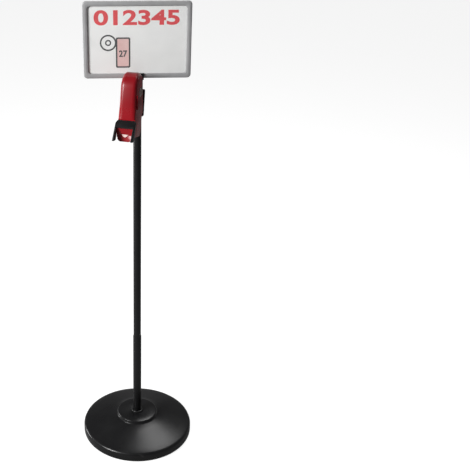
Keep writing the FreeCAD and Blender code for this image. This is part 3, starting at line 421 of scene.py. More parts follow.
def draw_frame(name, width, height, radius, section):
    """A closed frame: one ring is drawn through each inset and depth of its section in turn."""
    inset, depth = section[0]
    frame_ring = rounded_ring(width - 2 * inset, height - 2 * inset, radius, depth)
    frame_ring.name = name
    bpy.ops.object.mode_set(mode="EDIT")
    bpy.ops.mesh.select_all(action="SELECT")
    for next_inset, next_depth in section[1:] + section[:1]:
        bpy.ops.mesh.extrude_region_move(
            TRANSFORM_OT_translate={"value": (0, (next_depth - depth) * mm, 0)})
        bpy.ops.transform.resize(
            value=((width - 2 * next_inset) / (width - 2 * inset), 1,
                   (height - 2 * next_inset) / (height - 2 * inset)),
            center_override=(0, next_depth * mm, 0))
        inset, depth = next_inset, next_depth
    bpy.ops.mesh.select_all(action="SELECT")
    bpy.ops.mesh.remove_doubles(threshold=0.01 * mm)
    bpy.ops.mesh.normals_make_consistent(inside=False)
    bpy.ops.object.mode_set(mode="OBJECT")
    return frame_ring


def block(low, high):
    """A plain block between two corners, used to cut or to build on."""
    deselect()
    bpy.ops.mesh.primitive_cube_add(size=1, location=[(a + b) / 2 * mm for a, b in zip(low, high)])
    piece = bpy.context.object
    piece.scale = [(b - a) * mm for a, b in zip(low, high)]
    bpy.ops.object.transform_apply(location=True, scale=True)
    return piece


def stand_sign(piece):
    """Lifts a piece drawn round the sign's middle to its height and turns it with the sign."""
    piece.location.z = sign_middle * mm
    piece.rotation_euler.z = math.radians(sign_turn)
    return piece


bead = [(0, 2.6), (0, -2.2), (0.5, -3.3), (1.6, -4.2), (3.2, -4.6), (4.4, -4.5), (5.2, -4.75),
        (7.2, -5), (9.2, -4.75), (10, -4.5), (11.2, -4.5), (12.8, -4.1), (13.9, -3.2),
        (member_width, -2.2), (member_width, -groove_half),
        (member_width - groove_depth, -groove_half), (member_width - groove_depth, groove_half),
        (member_width, groove_half), (member_width, 2.8), (13.6, 4.2), (11.6, 5), (3, 5),
        (0.9, 4.2)]
frame_bead = draw_frame("frame_bead", sign_width, sign_height, 11, bead)
carve(frame_bead, block((-147, -groove_half, sign_height / 2 - 10),
                        (147, groove_half, sign_height / 2 + 1)))
deselect()
frame_bead.select_set(True)
bpy.context.view_layer.objects.active = frame_bead
bpy.ops.object.shade_smooth_by_angle(angle=math.radians(40))
stand_sign(frame_bead)
frame_grey = surface("frame grey", (0.36, 0.36, 0.365), (0.31, 0.31, 0.315), (0.34, 0.46),
                     grain_scale=1500.0, grain_depth=0.08, scuff=(0.34, 0.34, 0.34))
settle(frame_bead, frame_grey, "stand", "grey_frame", "sign_frame")
paint_node("sign_clip", black_plastic)
clip_face = 7.65
place_screws(pan_screw("clip_kind", 3, 1.6, 1.6, 8), "clip_pan_screw",
             [(math.sin(math.radians(-sign_turn)) * clip_face,
               math.cos(math.radians(sign_turn)) * clip_face, sign_bottom + member_width / 2)],
             (-90, 0, sign_turn), "stand", "clip_screw")

# Card with its clear window and white back: they stand in the groove. The card shows plain
# red figures and a plain drawing of a roll with a numbered ticket.
card_white = surface("card stock", (0.86, 0.86, 0.85), (0.82, 0.82, 0.81), (0.5, 0.6),
                     grain_scale=2500.0, grain_depth=0.05)
back_white = surface("back sheet", (0.75, 0.75, 0.74), (0.7, 0.7, 0.69), (0.4, 0.55),
                     grain_scale=1500.0, grain_depth=0.08, scuff=(0.6, 0.6, 0.6))
paint_node("sign_card", card_white)
paint_node("sign_back", back_white)
half_card = sign_width / 2 - member_width + groove_depth - card_gap
card_low = -sign_height / 2 + member_width - groove_depth + card_gap
window = block((-half_card, -1.4, card_low), (half_card, -0.5, sign_height / 2 - 0.5))
window.name = "clear_window"
soften(window, 0.2, 2)
clear_sheet = surface("clear sheet", (0.95, 0.97, 0.97), (0.9, 0.93, 0.93), (0.06, 0.14),
                      grain_scale=200.0, grain_depth=0.01, Alpha=0.05)
settle(stand_sign(window), clear_sheet, "card_insert", "clear_sheet", "sign_window")
red_ink = surface("red ink", (0.72, 0.012, 0.022), (0.66, 0.01, 0.02), (0.4, 0.5),
                  grain_scale=2500.0, grain_depth=0.05)
black_ink = surface("black ink", (0.012, 0.012, 0.013), (0.02, 0.02, 0.02), (0.4, 0.5),
                    grain_scale=2500.0, grain_depth=0.05)
pink_ink = surface("pink ink", (0.72, 0.45, 0.43), (0.78, 0.52, 0.5), (0.4, 0.5),
                   grain_scale=2500.0, grain_depth=0.05)
ink_thickness, card_face, raised_print = 0.05, -0.22, -0.28


def print_figures(name, figures, middle, width, height, heavy, depth=raised_print):
    """Flat printed figures of a given width and height, standing in the XZ plane."""
    deselect()
    bpy.ops.object.text_add(rotation=(math.radians(90), 0, 0))
    text = bpy.context.object
    text.name = name
    text.data.body = figures
    text.data.offset = heavy
    text.data.align_x = "CENTER"
    text.data.align_y = "CENTER"
    text.data.extrude = 0.02
    bpy.ops.object.convert(target="MESH")
    bpy.ops.object.transform_apply(rotation=True)
    text.scale = (width * mm / text.dimensions.x, ink_thickness * mm / text.dimensions.y,
                  height * mm / text.dimensions.z)
    bpy.ops.object.transform_apply(scale=True)
    corners = [Vector(corner) for corner in text.bound_box]
    centre = sum(corners, Vector()) / 8
    text.data.transform(Matrix.Translation(
        Vector((middle[0], depth, middle[1])) * mm - centre))
    return text


header = print_figures("header_figures", "012345", (-1.5, 65), 246, 44, 0.03)
settle(stand_sign(header), red_ink, "card_insert", "printed_card")


def thicken_print():
    """Gives the flat print that is being edited its thin ink, with its normals outward."""
    bpy.ops.mesh.extrude_region_move(
        TRANSFORM_OT_translate={"value": (0, -ink_thickness * mm, 0)})
    bpy.ops.mesh.select_all(action="SELECT")
    bpy.ops.mesh.normals_make_consistent(inside=False)
    bpy.ops.object.mode_set(mode="OBJECT")


def flat_ring(radius, inner, middle, depth):
    """A thin printed ring."""
    deselect()
    bpy.ops.mesh.primitive_circle_add(vertices=64, radius=radius * mm, fill_type="NGON",
                                      location=(middle[0] * mm, depth * mm, middle[1] * mm),
                                      rotation=(math.radians(90), 0, 0))
    ring = bpy.context.object
    bpy.ops.object.transform_apply(location=True, rotation=True)
    bpy.ops.object.mode_set(mode="EDIT")
    bpy.ops.mesh.select_all(action="SELECT")
    bpy.ops.mesh.inset(thickness=(radius - inner) * mm)
    bpy.ops.mesh.delete(type="FACE")
    bpy.ops.mesh.select_all(action="SELECT")
    thicken_print()
    return ring


def flat_card(low, high, radius, depth):
    """A thin printed rectangle with rounded corners."""
    middle = [(a + b) / 2 for a, b in zip(low, high)]
    card = rounded_ring(high[0] - low[0], high[1] - low[1], radius, depth)
    bpy.ops.object.mode_set(mode="EDIT")
    bpy.ops.mesh.select_all(action="SELECT")
    bpy.ops.mesh.edge_face_add()
    thicken_print()
    card.location = (middle[0] * mm, 0, middle[1] * mm)
    bpy.ops.object.transform_apply(location=True)
    return card


for name, mark, ink in (
        ("drawn_roll", flat_ring(24, 19.5, (-84, -8), card_face), black_ink),
        ("drawn_core", flat_ring(9, 5, (-84, -8), card_face), black_ink),
        ("drawn_ticket", flat_card((-62, -82), (-20, 8), 5, card_face), black_ink),
        ("drawn_ticket_face", flat_card((-57.5, -77.5), (-24.5, 3.5), 2.5, raised_print),
         pink_ink),
        ("drawn_number", print_figures("drawn_number", "27", (-41, -40), 24, 20, 0.03,
                                       raised_print - 0.08), black_ink)):
    mark.name = name
    settle(stand_sign(mark), ink, "card_insert", "printed_card")


# Case: a glossy red moulded shell, open at the right side for the door and at the mouth.
# Its solid form is drawn round the side, rounded, then hollowed to one wall thickness. The cut
# of the mouth then loses the inner surface, so the mesh is the outer surface alone, facing in.
roll_level, roll_reach, case_radius, half_case, wall = 1281, 57, 43.5, 24.5, 2.5
door_radius, door_drop, door_front, door_back, door_inside = 36, 54, 92.6, 21.5, 15.3
hinge_out, hinge_reach, knuckle_radius, pin_room = 25.9, 95.5, 2.6, 1.3
knuckle_top, split_top, split_low, knuckle_low, split_gap = -10, -24, -38, -52, 0.4
roller_reach, roller_drop, axle_bore = 98, 80, 2.1
brake_reach, brake_drop = 70, 62


def trace(name, points):
    """A flat face drawn from point to point, in millimetres."""
    deselect()
    spots = [Vector(point) * mm for point in points]
    bpy.ops.mesh.primitive_plane_add(size=1 * mm, location=spots[0])
    piece = bpy.context.object
    piece.name = name
    bpy.ops.object.transform_apply(location=True)
    bpy.ops.object.mode_set(mode="EDIT")
    bpy.ops.mesh.select_mode(type="VERT")
    bpy.ops.mesh.select_all(action="SELECT")
    bpy.ops.mesh.merge(type="CENTER")
    bpy.ops.mesh.select_all(action="SELECT")
    for here, there in zip(spots, spots[1:]):
        bpy.ops.mesh.extrude_vertices_move(TRANSFORM_OT_translate={"value": there - here})
    bpy.ops.mesh.select_all(action="SELECT")
    bpy.ops.mesh.edge_face_add()
    bpy.ops.object.mode_set(mode="OBJECT")
    return piece


def draw_out(piece, way):
    """Extrudes a traced face into a closed solid along the given way, in millimetres."""
    deselect()
    bpy.context.view_layer.objects.active = piece
    bpy.ops.object.mode_set(mode="EDIT")
    bpy.ops.mesh.select_all(action="SELECT")
    bpy.ops.mesh.extrude_region_move(TRANSFORM_OT_translate={"value": Vector(way) * mm})
    bpy.ops.mesh.select_all(action="SELECT")
    bpy.ops.mesh.normals_make_consistent(inside=False)
    bpy.ops.object.mode_set(mode="OBJECT")
    return piece


def side_form(name, outline, left, right):
    """A solid between two X planes, from a side outline of reach and height at the roll."""
    points = [(left, -reach, roll_level + height) for reach, height in outline]
    return draw_out(trace(name, points), (right - left, 0, 0))


def side_rod(name, reach, height, radius, left, right, sides=48):
    """A round rod along X at a reach and height measured from the middle of the roll."""
    deselect()
    bpy.ops.mesh.primitive_cylinder_add(
        vertices=sides, radius=radius * mm, depth=(right - left) * mm,
        location=((left + right) / 2 * mm, -reach * mm, (roll_level + height) * mm),
        rotation=(0, math.radians(90), 0))
    rod = bpy.context.object
    rod.name = name
    bpy.ops.object.transform_apply(location=True, rotation=True)
    return rod


def arc(reach, height, radius, start, end, count):
    """Points round a centre, angles counted from straight up towards the front."""
    angles = [math.radians(start + (end - start) * step / count) for step in range(count + 1)]
    return [(reach + radius * math.sin(a), height + radius * math.cos(a)) for a in angles]


lean = 16.5
front = (roll_reach + case_radius * math.cos(math.radians(lean)),
         case_radius * math.sin(math.radians(lean)))
bend = (front[0] + 45 * math.sin(math.radians(lean)), front[1] - 45 * math.cos(math.radians(lean)))
back_angle = -math.degrees(math.asin((roll_reach - 18) / case_radius))
outline = arc(roll_reach, 0, case_radius, back_angle, 90 - lean, 40) + [
    bend, (117.5, -76), (124, -81), (138, -93), (137, -125), (66, -144), (54, -136),
    (40, -91), (18, -59)]
shell = side_form("closed_shell", outline, -half_case, half_case)


def pick_edges(piece, wanted):
    """Selects the edges whose middle and direction, in millimetres, pass a test."""
    deselect()
    bpy.context.view_layer.objects.active = piece
    piece.select_set(True)
    bpy.ops.object.mode_set(mode="EDIT")
    bpy.ops.mesh.select_mode(type="EDGE")
    bpy.ops.mesh.select_all(action="DESELECT")
    bpy.ops.object.mode_set(mode="OBJECT")
    for edge in piece.data.edges:
        first, second = (piece.data.vertices[v].co / mm for v in edge.vertices)
        edge.select = bool(wanted((first + second) / 2, second - first))
    bpy.ops.object.mode_set(mode="EDIT")


def round_picked(piece, width, segments, profile=0.5):
    """Rounds the picked edges and leaves edit mode."""
    bpy.ops.mesh.bevel(offset=width * mm, segments=segments, profile=profile, affect="EDGES",
                       clamp_overlap=False)
    bpy.ops.object.mode_set(mode="OBJECT")
    return piece


pick_edges(shell, lambda middle, run: (
    abs(run.x) < 0.1 and middle.z > roll_level - 76
    and (middle.y < -50 or middle.y > -18.1 or middle.z > roll_level)))
round_picked(shell, 12, 8)
soften(shell, 2.2, 3, 32)
thicken = shell.modifiers.new("wall", "SOLIDIFY")
thicken.thickness = wall * mm
thicken.offset = -1
bpy.ops.object.modifier_apply(modifier="wall")
inner = half_case - wall
carve(shell, side_form("mouth_cutter", [(125, -95.5), (160, -95.5), (160, -116.4),
                                        (125, -125.7)], -inner, inner))


def door_block(gap):
    """The room of the door opening, or of the door itself where there is a gap."""
    round_part = side_rod("round_part", roll_reach, 0, door_radius - gap, door_inside, 40,
                          sides=128)
    low_part = block((door_inside, -door_front + gap, roll_level - door_drop + gap),
                     (40, -door_back - gap, roll_level))
    return carve(round_part, low_part, "UNION")


panel = shell.copy()
panel.data = shell.data.copy()
bpy.context.collection.objects.link(panel)
carve(shell, door_block(0))


def upright_rod(x, reach, radius, low, high, sides):
    """A round rod along Z between two heights measured from the middle of the roll."""
    deselect()
    bpy.ops.mesh.primitive_cylinder_add(
        vertices=sides, radius=radius * mm, depth=(high - low) * mm,
        location=(x * mm, -reach * mm, (roll_level + (low + high) / 2) * mm))
    return bpy.context.object


def knuckle(low, high):
    """A hinge knuckle of the case or door, bored for the pin."""
    return carve(upright_rod(hinge_out, hinge_reach, knuckle_radius, low, high, 40),
                 upright_rod(hinge_out, hinge_reach, pin_room, low - 1, high + 1, 32))


carve(shell, block((21, -98.5, roll_level + split_low), (30, -92, roll_level + split_top)))
carve(shell, knuckle(split_top, knuckle_top), "UNION")
carve(shell, knuckle(knuckle_low, split_low), "UNION")
carve(shell, side_rod("boss", brake_reach, -brake_drop, 4.5, -22.3, -16), "UNION")
carve(shell, side_rod("boss", roller_reach, -roller_drop, 4, 15.4, 22.3), "UNION")
carve(shell, side_rod("bore", roller_reach, -roller_drop, axle_bore, 14, 23))
carve(shell, side_rod("bore", roll_reach, 0, axle_bore, -30, -20))
carve(shell, side_rod("bore", roller_reach, -roller_drop, axle_bore, -30, -20))
carve(shell, side_rod("bore", brake_reach, -brake_drop, 1.6, -30, -15))
shell.name = "case_moulding"
soften(shell, 0.35, 2, 50)
red_plastic = surface("red plastic", (0.27, 0.004, 0.009), (0.22, 0.003, 0.007), (0.24, 0.34),
                      grain_scale=1200.0, grain_depth=0.05, ripple=0.6,
                      scuff=(0.32, 0.03, 0.035), cloud_scale=14.0, Specular_IOR_Level=0.4)
settle(shell, red_plastic, "dispenser", "red_plastic", "case_shell")

# Door: the panel cut from the same form, with its hinge knuckle, a window for the button and
# two posts inside that carry the keeper. Like the case, it has no inner surface.
carve(panel, door_block(0.4), "INTERSECT")
carve(panel, block((inner, -hinge_reach, roll_level + split_low + split_gap),
                   (half_case, -90, roll_level + split_top - split_gap)), "UNION")
carve(panel, knuckle(split_low + split_gap, split_top - split_gap), "UNION")
carve(panel, block((18, -66, roll_level - 26), (30, -32, roll_level - 2)))
for reach in (28.3, 69.7):
    carve(panel, side_rod("post", reach, -14, 2, 16.8, 22.5, 24), "UNION")
panel.name = "door_panel"
soften(panel, 0.35, 2, 50)
settle(panel, red_plastic, "door", "red_plastic", "door")
steel = surface("bright steel", (0.6, 0.6, 0.6), (0.5, 0.5, 0.5), (0.2, 0.35),
                grain_scale=900.0, grain_depth=0.08, Metallic=1.0)
paint_node("hinge_pin", steel)

# Latch button: grey plastic with five ribs for the thumb. Behind it stands a steel coil on a black
# keeper; the coil shortens when the button goes in, but here it keeps one length.
button = block((21, -65.6, roll_level - 25.6), (25.2, -32.4, roll_level - 2.4))
flange = block((21, -67.5, roll_level - 27.5), (21.9, -30.5, roll_level - 0.5))
carve(button, flange, "UNION")
for step in range(5):
    middle = -49 + (step - 2) * 5.2
    rib = block((25, middle - 0.9, roll_level - 23.2), (26, middle + 0.9, roll_level - 4.8))
    carve(button, rib, "UNION")
button.name = "thumb_button"
soften(button, 0.35, 2)
# The button's colours are the plastic's grey tinted pink: the pink is a painted reflection of the
# red case round it.
button_grey_painted_pink_reflection = surface("button grey with painted red reflection", (0.42, 0.34, 0.32), (0.38, 0.3, 0.285), (0.3, 0.42),
                      grain_scale=1300.0, grain_depth=0.12, scuff=(0.55, 0.5, 0.48))
settle(button, button_grey_painted_pink_reflection, "latch", "grey_plastic", "latch_button")
paint_node("latch_keeper", black_plastic)


def coil(name, reach, height, radius, wire, left, right, turns):
    """A wound spring along X. Its wire comes out as a flat ribbon that has no thickness."""
    deselect()
    bpy.ops.mesh.primitive_circle_add(vertices=12, radius=wire * mm, fill_type="NOTHING",
                                      location=(0, (radius - wire) * mm, 0),
                                      rotation=(0, math.radians(90), 0))
    spring = bpy.context.object
    spring.name = name
    bpy.ops.object.transform_apply(location=True, rotation=True)
    bpy.ops.object.mode_set(mode="EDIT")
    bpy.ops.mesh.select_all(action="SELECT")
    bpy.ops.transform.rotate(value=math.radians(90), orient_axis="Z",
                             center_override=(0, (radius - wire) * mm, 0))
    bpy.ops.object.mode_set(mode="OBJECT")
    wind = spring.modifiers.new("wind", "SCREW")
    wind.axis = "X"
    wind.angle = 2 * math.pi * turns
    wind.screw_offset = (right - left - 2 * wire) * mm
    wind.steps = wind.render_steps = 24 * turns
    bpy.ops.object.modifier_apply(modifier="wind")
    bpy.ops.object.mode_set(mode="EDIT")
    bpy.ops.mesh.select_all(action="SELECT")
    bpy.ops.mesh.fill_holes(sides=12)
    bpy.ops.mesh.select_all(action="SELECT")
    bpy.ops.mesh.normals_make_consistent(inside=False)
    bpy.ops.object.mode_set(mode="OBJECT")
    bpy.ops.object.shade_smooth()
    spring.location = ((left + wire) * mm, -reach * mm, (roll_level + height) * mm)
    return spring


coil_foot, button_reach, button_drop = 16.8, 49, 14
latch_coil = coil("latch_coil", button_reach, -button_drop, 4, 0.35, coil_foot, 21, 4)
settle(latch_coil, steel, "door", "plated_steel", "latch_spring")
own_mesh(latch_coil)

# Mouth hood: a black moulded hood pressed over the nose, with a leg down each side of the mouth.
# Its mesh comes out in one of two forms, 16 triangles apart, from one run to the next.
hood_outline = [(122, -77.5), (140, -91.5), (170, -123), (168, -126), (156, -129), (146, -129),
                (128, -98), (120, -84)]
half_hood, brow_radius, leg_inside = 30, 10, 24.7
hood = side_form("mouth_hood", hood_outline, -half_hood, half_hood)
brow = arc(half_hood - brow_radius, -77.5 - brow_radius, brow_radius, 0, 90, 10)
brow = [(-x, z) for x, z in reversed(brow)] + brow + [(half_hood, -140), (-half_hood, -140)]
carve(hood, draw_out(trace("brow_cutter", [(x, -100, roll_level + z) for x, z in brow]),
                     (0, -100, 0)), "INTERSECT")
pick_edges(hood, lambda middle, run: (
    abs(middle.x) > half_hood - 0.1 and middle.z < roll_level - 88 and middle.y < -134
    and middle.z - roll_level > middle.y + 38 and abs(run.y) > 4))
round_picked(hood, 3, 4)
carve(hood, side_form("mouth_room", [
    (110, -70.3), (117.5, -75.8), (124, -80.8), (138.2, -92.8), (138.2, -96), (140.3, -96),
    (140.3, -85), (190, -85), (190, -143), (110, -143)], -leg_inside, leg_inside))
halves = hood.modifiers.new("halves", "MIRROR")
halves.use_bisect_axis[0] = True
bpy.ops.object.modifier_apply(modifier="halves")
soften(hood, 0.7, 3, 35)
hood_black = surface("hood black", (0.007, 0.007, 0.0075), (0.011, 0.011, 0.0115), (0.3, 0.42),
                     grain_scale=1300.0, grain_depth=0.12, scuff=(0.04, 0.04, 0.04),
                     Specular_IOR_Level=0.35)
settle(hood, hood_black, "dispenser", "black_plastic", "nose_bezel")

# Chute: a red slide that ends in a tongue with a low rim, under the paper.
tongue_run = Vector((18, -36)).normalized()
tongue_out = Vector((-tongue_run.y, tongue_run.x))
back_set, down_set = 2.24, 1.12
chute_outline = [(104, -90.5), (124, -94), (128, -98), (146, -134),
                 (146 - back_set, -134 - down_set), (128 - back_set, -98 - down_set),
                 (123.1, -96.3), (104, -93)]
chute = side_form("chute_slide", chute_outline, -21.8, 21.8)
pick_edges(chute, lambda middle, run: (
    abs(run.x) < 0.1 and middle.z < roll_level - 133.9))
round_picked(chute, 11, 10)
bpy.ops.object.mode_set(mode="EDIT")
bpy.ops.mesh.select_mode(type="FACE")
bpy.ops.mesh.select_all(action="DESELECT")
bpy.ops.object.mode_set(mode="OBJECT")
for face in chute.data.polygons:
    face.select = face.normal.y < -0.85 and face.area > 1e-4
bpy.ops.object.mode_set(mode="EDIT")
bpy.ops.mesh.inset(thickness=2.2 * mm)
bpy.ops.transform.translate(value=(0, 0.8 * tongue_out.x * mm, -0.8 * tongue_out.y * mm))
bpy.ops.object.mode_set(mode="OBJECT")
soften(chute, 0.35, 2, 30)
settle(chute, red_plastic, "dispenser", "red_plastic", "chute")

# Tear edge: a thin steel blade with a row of teeth, held under the hood.
blade_run = Vector((14, -12)).normalized()
blade_under = Vector((blade_run.y, -blade_run.x))


def on_blade(along, under):
    """A reach and height on the blade, from its root along it and down through it."""
    return (122.75 + blade_run.x * along + blade_under.x * under,
            -83.5 + blade_run.y * along + blade_under.y * under)


blade = side_form("tear_edge", [on_blade(5, 0), on_blade(20, 0), on_blade(20, 0.8),
                                on_blade(5, 0.8)], -18, 18)
for step in range(18):
    x = -17 + step * 2
    notch = trace("notch", [
        (side, -on_blade(along, -1)[0], roll_level + on_blade(along, -1)[1])
        for side, along in ((x - 0.9, 20.5), (x + 0.9, 20.5), (x, 18.4))])
    carve(blade, draw_out(notch, (0, -blade_under.x * 3, blade_under.y * 3)))
soften(blade, 0.08, 1)
settle(blade, steel, "dispenser", "plated_steel", "tear_blade")

# Hub: a white plastic spindle on the left wall, with a cap whose rim is grooved for the fingers.
white_plastic = surface("white plastic", (0.74, 0.74, 0.72), (0.68, 0.68, 0.66), (0.35, 0.48),
                        grain_scale=1100.0, grain_depth=0.08)
paint_node("spindle", white_plastic)
cap = side_rod("hub_cap", roll_reach, 0, 15, 13.3, 14.8, sides=72)
for step in range(12):
    turn = math.radians(30 * step)
    carve(cap, side_rod("dent", roll_reach + 16 * math.sin(turn), 16 * math.cos(turn), 2, 13, 15,
                        16))
carve(cap, side_rod("hub_plug", roll_reach, 0, 9, 6.4, 13.6, 48), "UNION")
soften(cap, 0.3, 2)
settle(cap, white_plastic, "dispenser", "white_plastic", "spindle_cap")
place_screws(pan_screw("hub_kind", 3.8, 2, 2, 12), "hub_pan_screw",
             [(-half_case, -roll_reach, roll_level)], (0, -90, 0), "dispenser", "spindle_screw")

# Ticket roll: a card core with printed paper wound on it in many turns.
core_card = surface("core card", (0.36, 0.25, 0.16), (0.3, 0.21, 0.13), (0.75, 0.9),
                    grain_scale=700.0, grain_depth=0.4)
paint_node("roll_core", core_card)
half_paper = 13
roll = side_rod("paper_roll", roll_reach, 0, 35, -half_paper, half_paper, sides=128)
carve(roll, side_rod("core_room", roll_reach, 0, 14.25, -14, 14, sides=96))
soften(roll, 0.25, 2, 50)
ticket_paper = surface("ticket paper", (0.72, 0.56, 0.53), (0.68, 0.51, 0.48), (0.6, 0.75),
                       grain_scale=1800.0, grain_depth=0.1)
wound_paper = ticket_paper.copy()
wound_paper.name = "wound paper"
tree = wound_paper.node_tree
spot = tree.nodes.new("ShaderNodeTexCoord")
centred = tree.nodes.new("ShaderNodeMapping")
centred.vector_type = "POINT"
centred.inputs["Location"].default_value = (0, roll_reach * mm, -roll_level * mm)
plug(tree, spot.outputs["Object"], centred.inputs["Vector"])
turns = tree.nodes.new("ShaderNodeTexWave")
turns.wave_type = "RINGS"
turns.rings_direction = "X"
turns.inputs["Scale"].default_value = 420.0
turns.inputs["Distortion"].default_value = 0.6
plug(tree, centred.outputs["Vector"], turns.inputs["Vector"])
shader = tree.nodes["Principled BSDF"]
paper_shade = shader.inputs["Base Color"].links[0].from_socket
plug(tree, blend_colours(tree, spread(tree, turns.outputs["Fac"], 0.2, 0.8, 0.0, 0.6),
                         paper_shade, (0.5, 0.36, 0.33)), shader.inputs["Base Color"])
settle(roll, wound_paper, "roll", "ticket_paper", "ticket_roll")


# Paper end: it comes off the roll, turns under the roller and lies over the tongue. Its tip is
# cut to a round point and carries a plain number.
def round_roller(radius, angles):
    """Points round the guide roller at the given angles, in degrees."""
    return [(roller_reach + radius * math.cos(math.radians(angle)),
             -roller_drop + radius * math.sin(math.radians(angle))) for angle in angles]


wrap = (180, 192, 204, 216, 228, 240, 253)
low_edge = [(124.1, -93.8), (126.4, -95.7), (128.2, -97.9), (140.65, -122.9)]
high_edge = [(141, -122.7), (128.5, -97.7), (126.6, -95.4), (124.25, -93.45)]
strip = side_form("paper_end", [
    (92.3, 0), *round_roller(5.7, wrap), *low_edge, *high_edge, *round_roller(5.35, wrap[::-1]),
    (92.65, 0)], -half_paper, half_paper)
pick_edges(strip, lambda middle, run: (
    abs(run.x) < 0.1 and run.length < 1 and middle.z < roll_level - 122))
round_picked(strip, 11.5, 8, 0.3)
bpy.ops.object.shade_smooth_by_angle(angle=math.radians(30))
settle(strip, ticket_paper, "dispenser", "ticket_paper", "ticket_strip")
brown_ink = surface("brown ink", (0.26, 0.1, 0.09), (0.3, 0.13, 0.12), (0.5, 0.6),
                    grain_scale=2500.0, grain_depth=0.05)
number = print_figures("ticket_number", "27", (0, 0), 9, 8, 0.04)
number.rotation_euler.x = -math.atan2(18, 36)
number.location = (0, -135.9 * mm + 0.28 * mm, (roll_level - 112) * mm)
settle(number, brown_ink, "dispenser", "ticket_paper")

# Guide roller: white plastic with a groove near each end for a soft band, which is not modelled,
# on a steel axle.
guide = side_rod("guide_tube", roller_reach, -roller_drop, 5, -15, 15, 64)
carve(guide, side_rod("axle_room", roller_reach, -roller_drop, axle_bore, -16, 16, 32))
for middle in (-9, 9):
    band = side_rod("groove", roller_reach, -roller_drop, 6, middle - 0.6, middle + 0.6, 64)
    carve(band, side_rod("groove_floor", roller_reach, -roller_drop, 4.5, middle - 1, middle + 1,
                         64))
    carve(guide, band)
soften(guide, 0.25, 2)
settle(guide, white_plastic, "roller", "white_plastic", "guide_roller")
for node in ("roller_axle", "brake_pin"):
    paint_node(node, steel)
paint_node("brake_arm", white_plastic)
brake_coil = coil("brake_coil", brake_reach, -brake_drop, 4.5, 0.35, -16, -9, 7)
settle(brake_coil, steel, "dispenser", "plated_steel", "brake_spring")

# Pole bracket: a black moulded plate behind the case, with a cradle that fits the pole.
bracket_bottom, half_cradle, pole_room = -101, 21.5, 12.6
plate = draw_out(trace("pole_plate", [
    (x, -18, roll_level + z) for x, z in (
        (-23.5, bracket_bottom), (23.5, bracket_bottom), (28, -17), (-28, -17))]), (0, 5, 0))
pick_edges(plate, lambda middle, run: abs(run.y) > 4)
round_picked(plate, 4, 6)
carve(plate, block((-half_cradle, -13.5, roll_level + bracket_bottom + 5),
                   (half_cradle, -2.5, roll_level - 22)), "UNION")
carve(plate, upright_rod(0, 0, pole_room, -120, 0, 96))
soften(plate, 0.8, 3, 35)
settle(plate, hood_black, "dispenser", "black_plastic", "pole_bracket")

# Straps: two bent steel bands in black paint that hold the bracket on the pole, with four
# screws; three more screws hold the case on the bracket from inside.
upper_level, lower_level, half_band, band_thickness = -35, -83, 8, 1.5
for name, node, level in (("upper_band", "upper_strap", upper_level),
                          ("lower_band", "lower_strap", lower_level)):
    band = upright_rod(0, 0, pole_room + band_thickness, level - half_band, level + half_band, 96)
    band.name = name
    low, high = roll_level + level - half_band, roll_level + level + half_band
    carve(band, block((-half_cradle, -2.5, low), (half_cradle, -1, high)), "UNION")
    carve(band, upright_rod(0, 0, pole_room, level - 10, level + 10, 96))
    carve(band, block((-20, -20, low - 1), (20, -2.5, high + 1)))
    pick_edges(band, lambda middle, run: abs(middle.x) > half_cradle - 0.5 and abs(run.y) > 1)
    round_picked(band, 3, 5)
    soften(band, 0.25, 2, 45)
    settle(band, black_paint, "dispenser", "black_paint", node)
place_screws(pan_screw("band_kind", 3.2, 2, 1.8, 9), "band_pan_screws",
             [(x, -1, roll_level + level) for x in (-17.8, 17.8)
              for level in (upper_level, lower_level)],
             (-90, 0, 0), "dispenser", "strap_screws")
place_screws(pan_screw("case_kind", 3.8, 2, 2, 7), "case_pan_screws",
             [(x, -20.5, roll_level + z) for x, z in ((-10, -48), (10, -48), (0, -30))],
             (90, 0, 0), "dispenser", "case_screws")

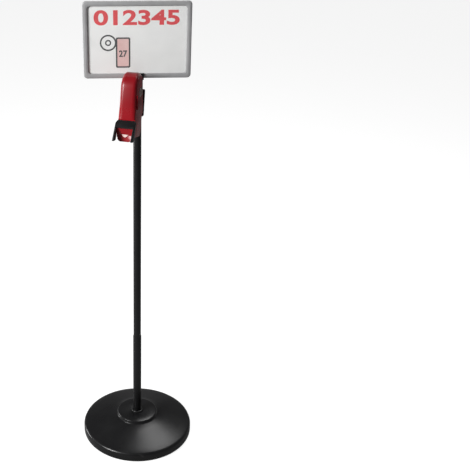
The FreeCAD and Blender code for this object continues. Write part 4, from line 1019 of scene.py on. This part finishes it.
# Studio: a plain pale floor that keeps the shadow, soft lamps, and the camera at the photo's
# place. The camera alone sees floor and background as white.
deselect()
bpy.ops.mesh.primitive_plane_add(size=24)
floor = bpy.context.object
floor.name = "studio_floor"
floor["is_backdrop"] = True


def seen_directly(tree, low, high):
    """A strength that is low for plain light and high where the camera looks."""
    path = tree.nodes.new("ShaderNodeLightPath")
    return spread(tree, path.outputs["Is Camera Ray"], 0.0, 1.0, low, high)


floor_white = bpy.data.materials.new("floor white")
floor_white.use_nodes = True
shader = floor_white.node_tree.nodes["Principled BSDF"]
shader.inputs["Base Color"].default_value = (0.3, 0.3, 0.3, 1)
shader.inputs["Roughness"].default_value = 0.9
shader.inputs["Emission Color"].default_value = (1, 1, 1, 1)
plug(floor_white.node_tree, seen_directly(floor_white.node_tree, 0.0, 0.85),
     shader.inputs["Emission Strength"])
floor.data.materials.append(floor_white)
world = bpy.data.worlds.new("studio")
world.use_nodes = True
bpy.context.scene.world = world
sky = world.node_tree.nodes["Background"]
sky.inputs["Color"].default_value = (1, 1, 1, 1)
plug(world.node_tree, seen_directly(world.node_tree, 0.13, 1.0), sky.inputs["Strength"])


def soft_lamp(name, place, target, size, power):
    """A square area lamp that looks at a point."""
    light = bpy.data.lights.new(name, "AREA")
    light.size = size
    light.energy = power
    lamp = bpy.data.objects.new(name, light)
    bpy.context.collection.objects.link(lamp)
    lamp.location = place
    lamp.rotation_euler = (Vector(target) - Vector(place)).to_track_quat("-Z", "Y").to_euler()
    return lamp


soft_lamp("key_lamp", (-2.3, -2.4, 2.5), (0, 0, 1.25), 1.1, 190)
soft_lamp("top_lamp", (0.5, 1.3, 3.0), (0, 0, 0.6), 1.4, 50)
soft_lamp("left_lamp", (-2.6, 0.3, 0.5), (0, 0, 1.2), 0.9, 26)

distance, camera_height, azimuth, pitch = 2.652, 2.152, math.radians(15), math.radians(62.5)
lens = bpy.data.cameras.new("photo_camera")
lens.sensor_width = 36
lens.lens = 71.7
lens.shift_x = 0.208
camera = bpy.data.objects.new("photo_camera", lens)
bpy.context.collection.objects.link(camera)
camera.location = (distance * math.sin(azimuth), -distance * math.cos(azimuth), camera_height)
camera.rotation_euler = (pitch, 0, azimuth)
bpy.context.scene.camera = camera

low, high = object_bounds()
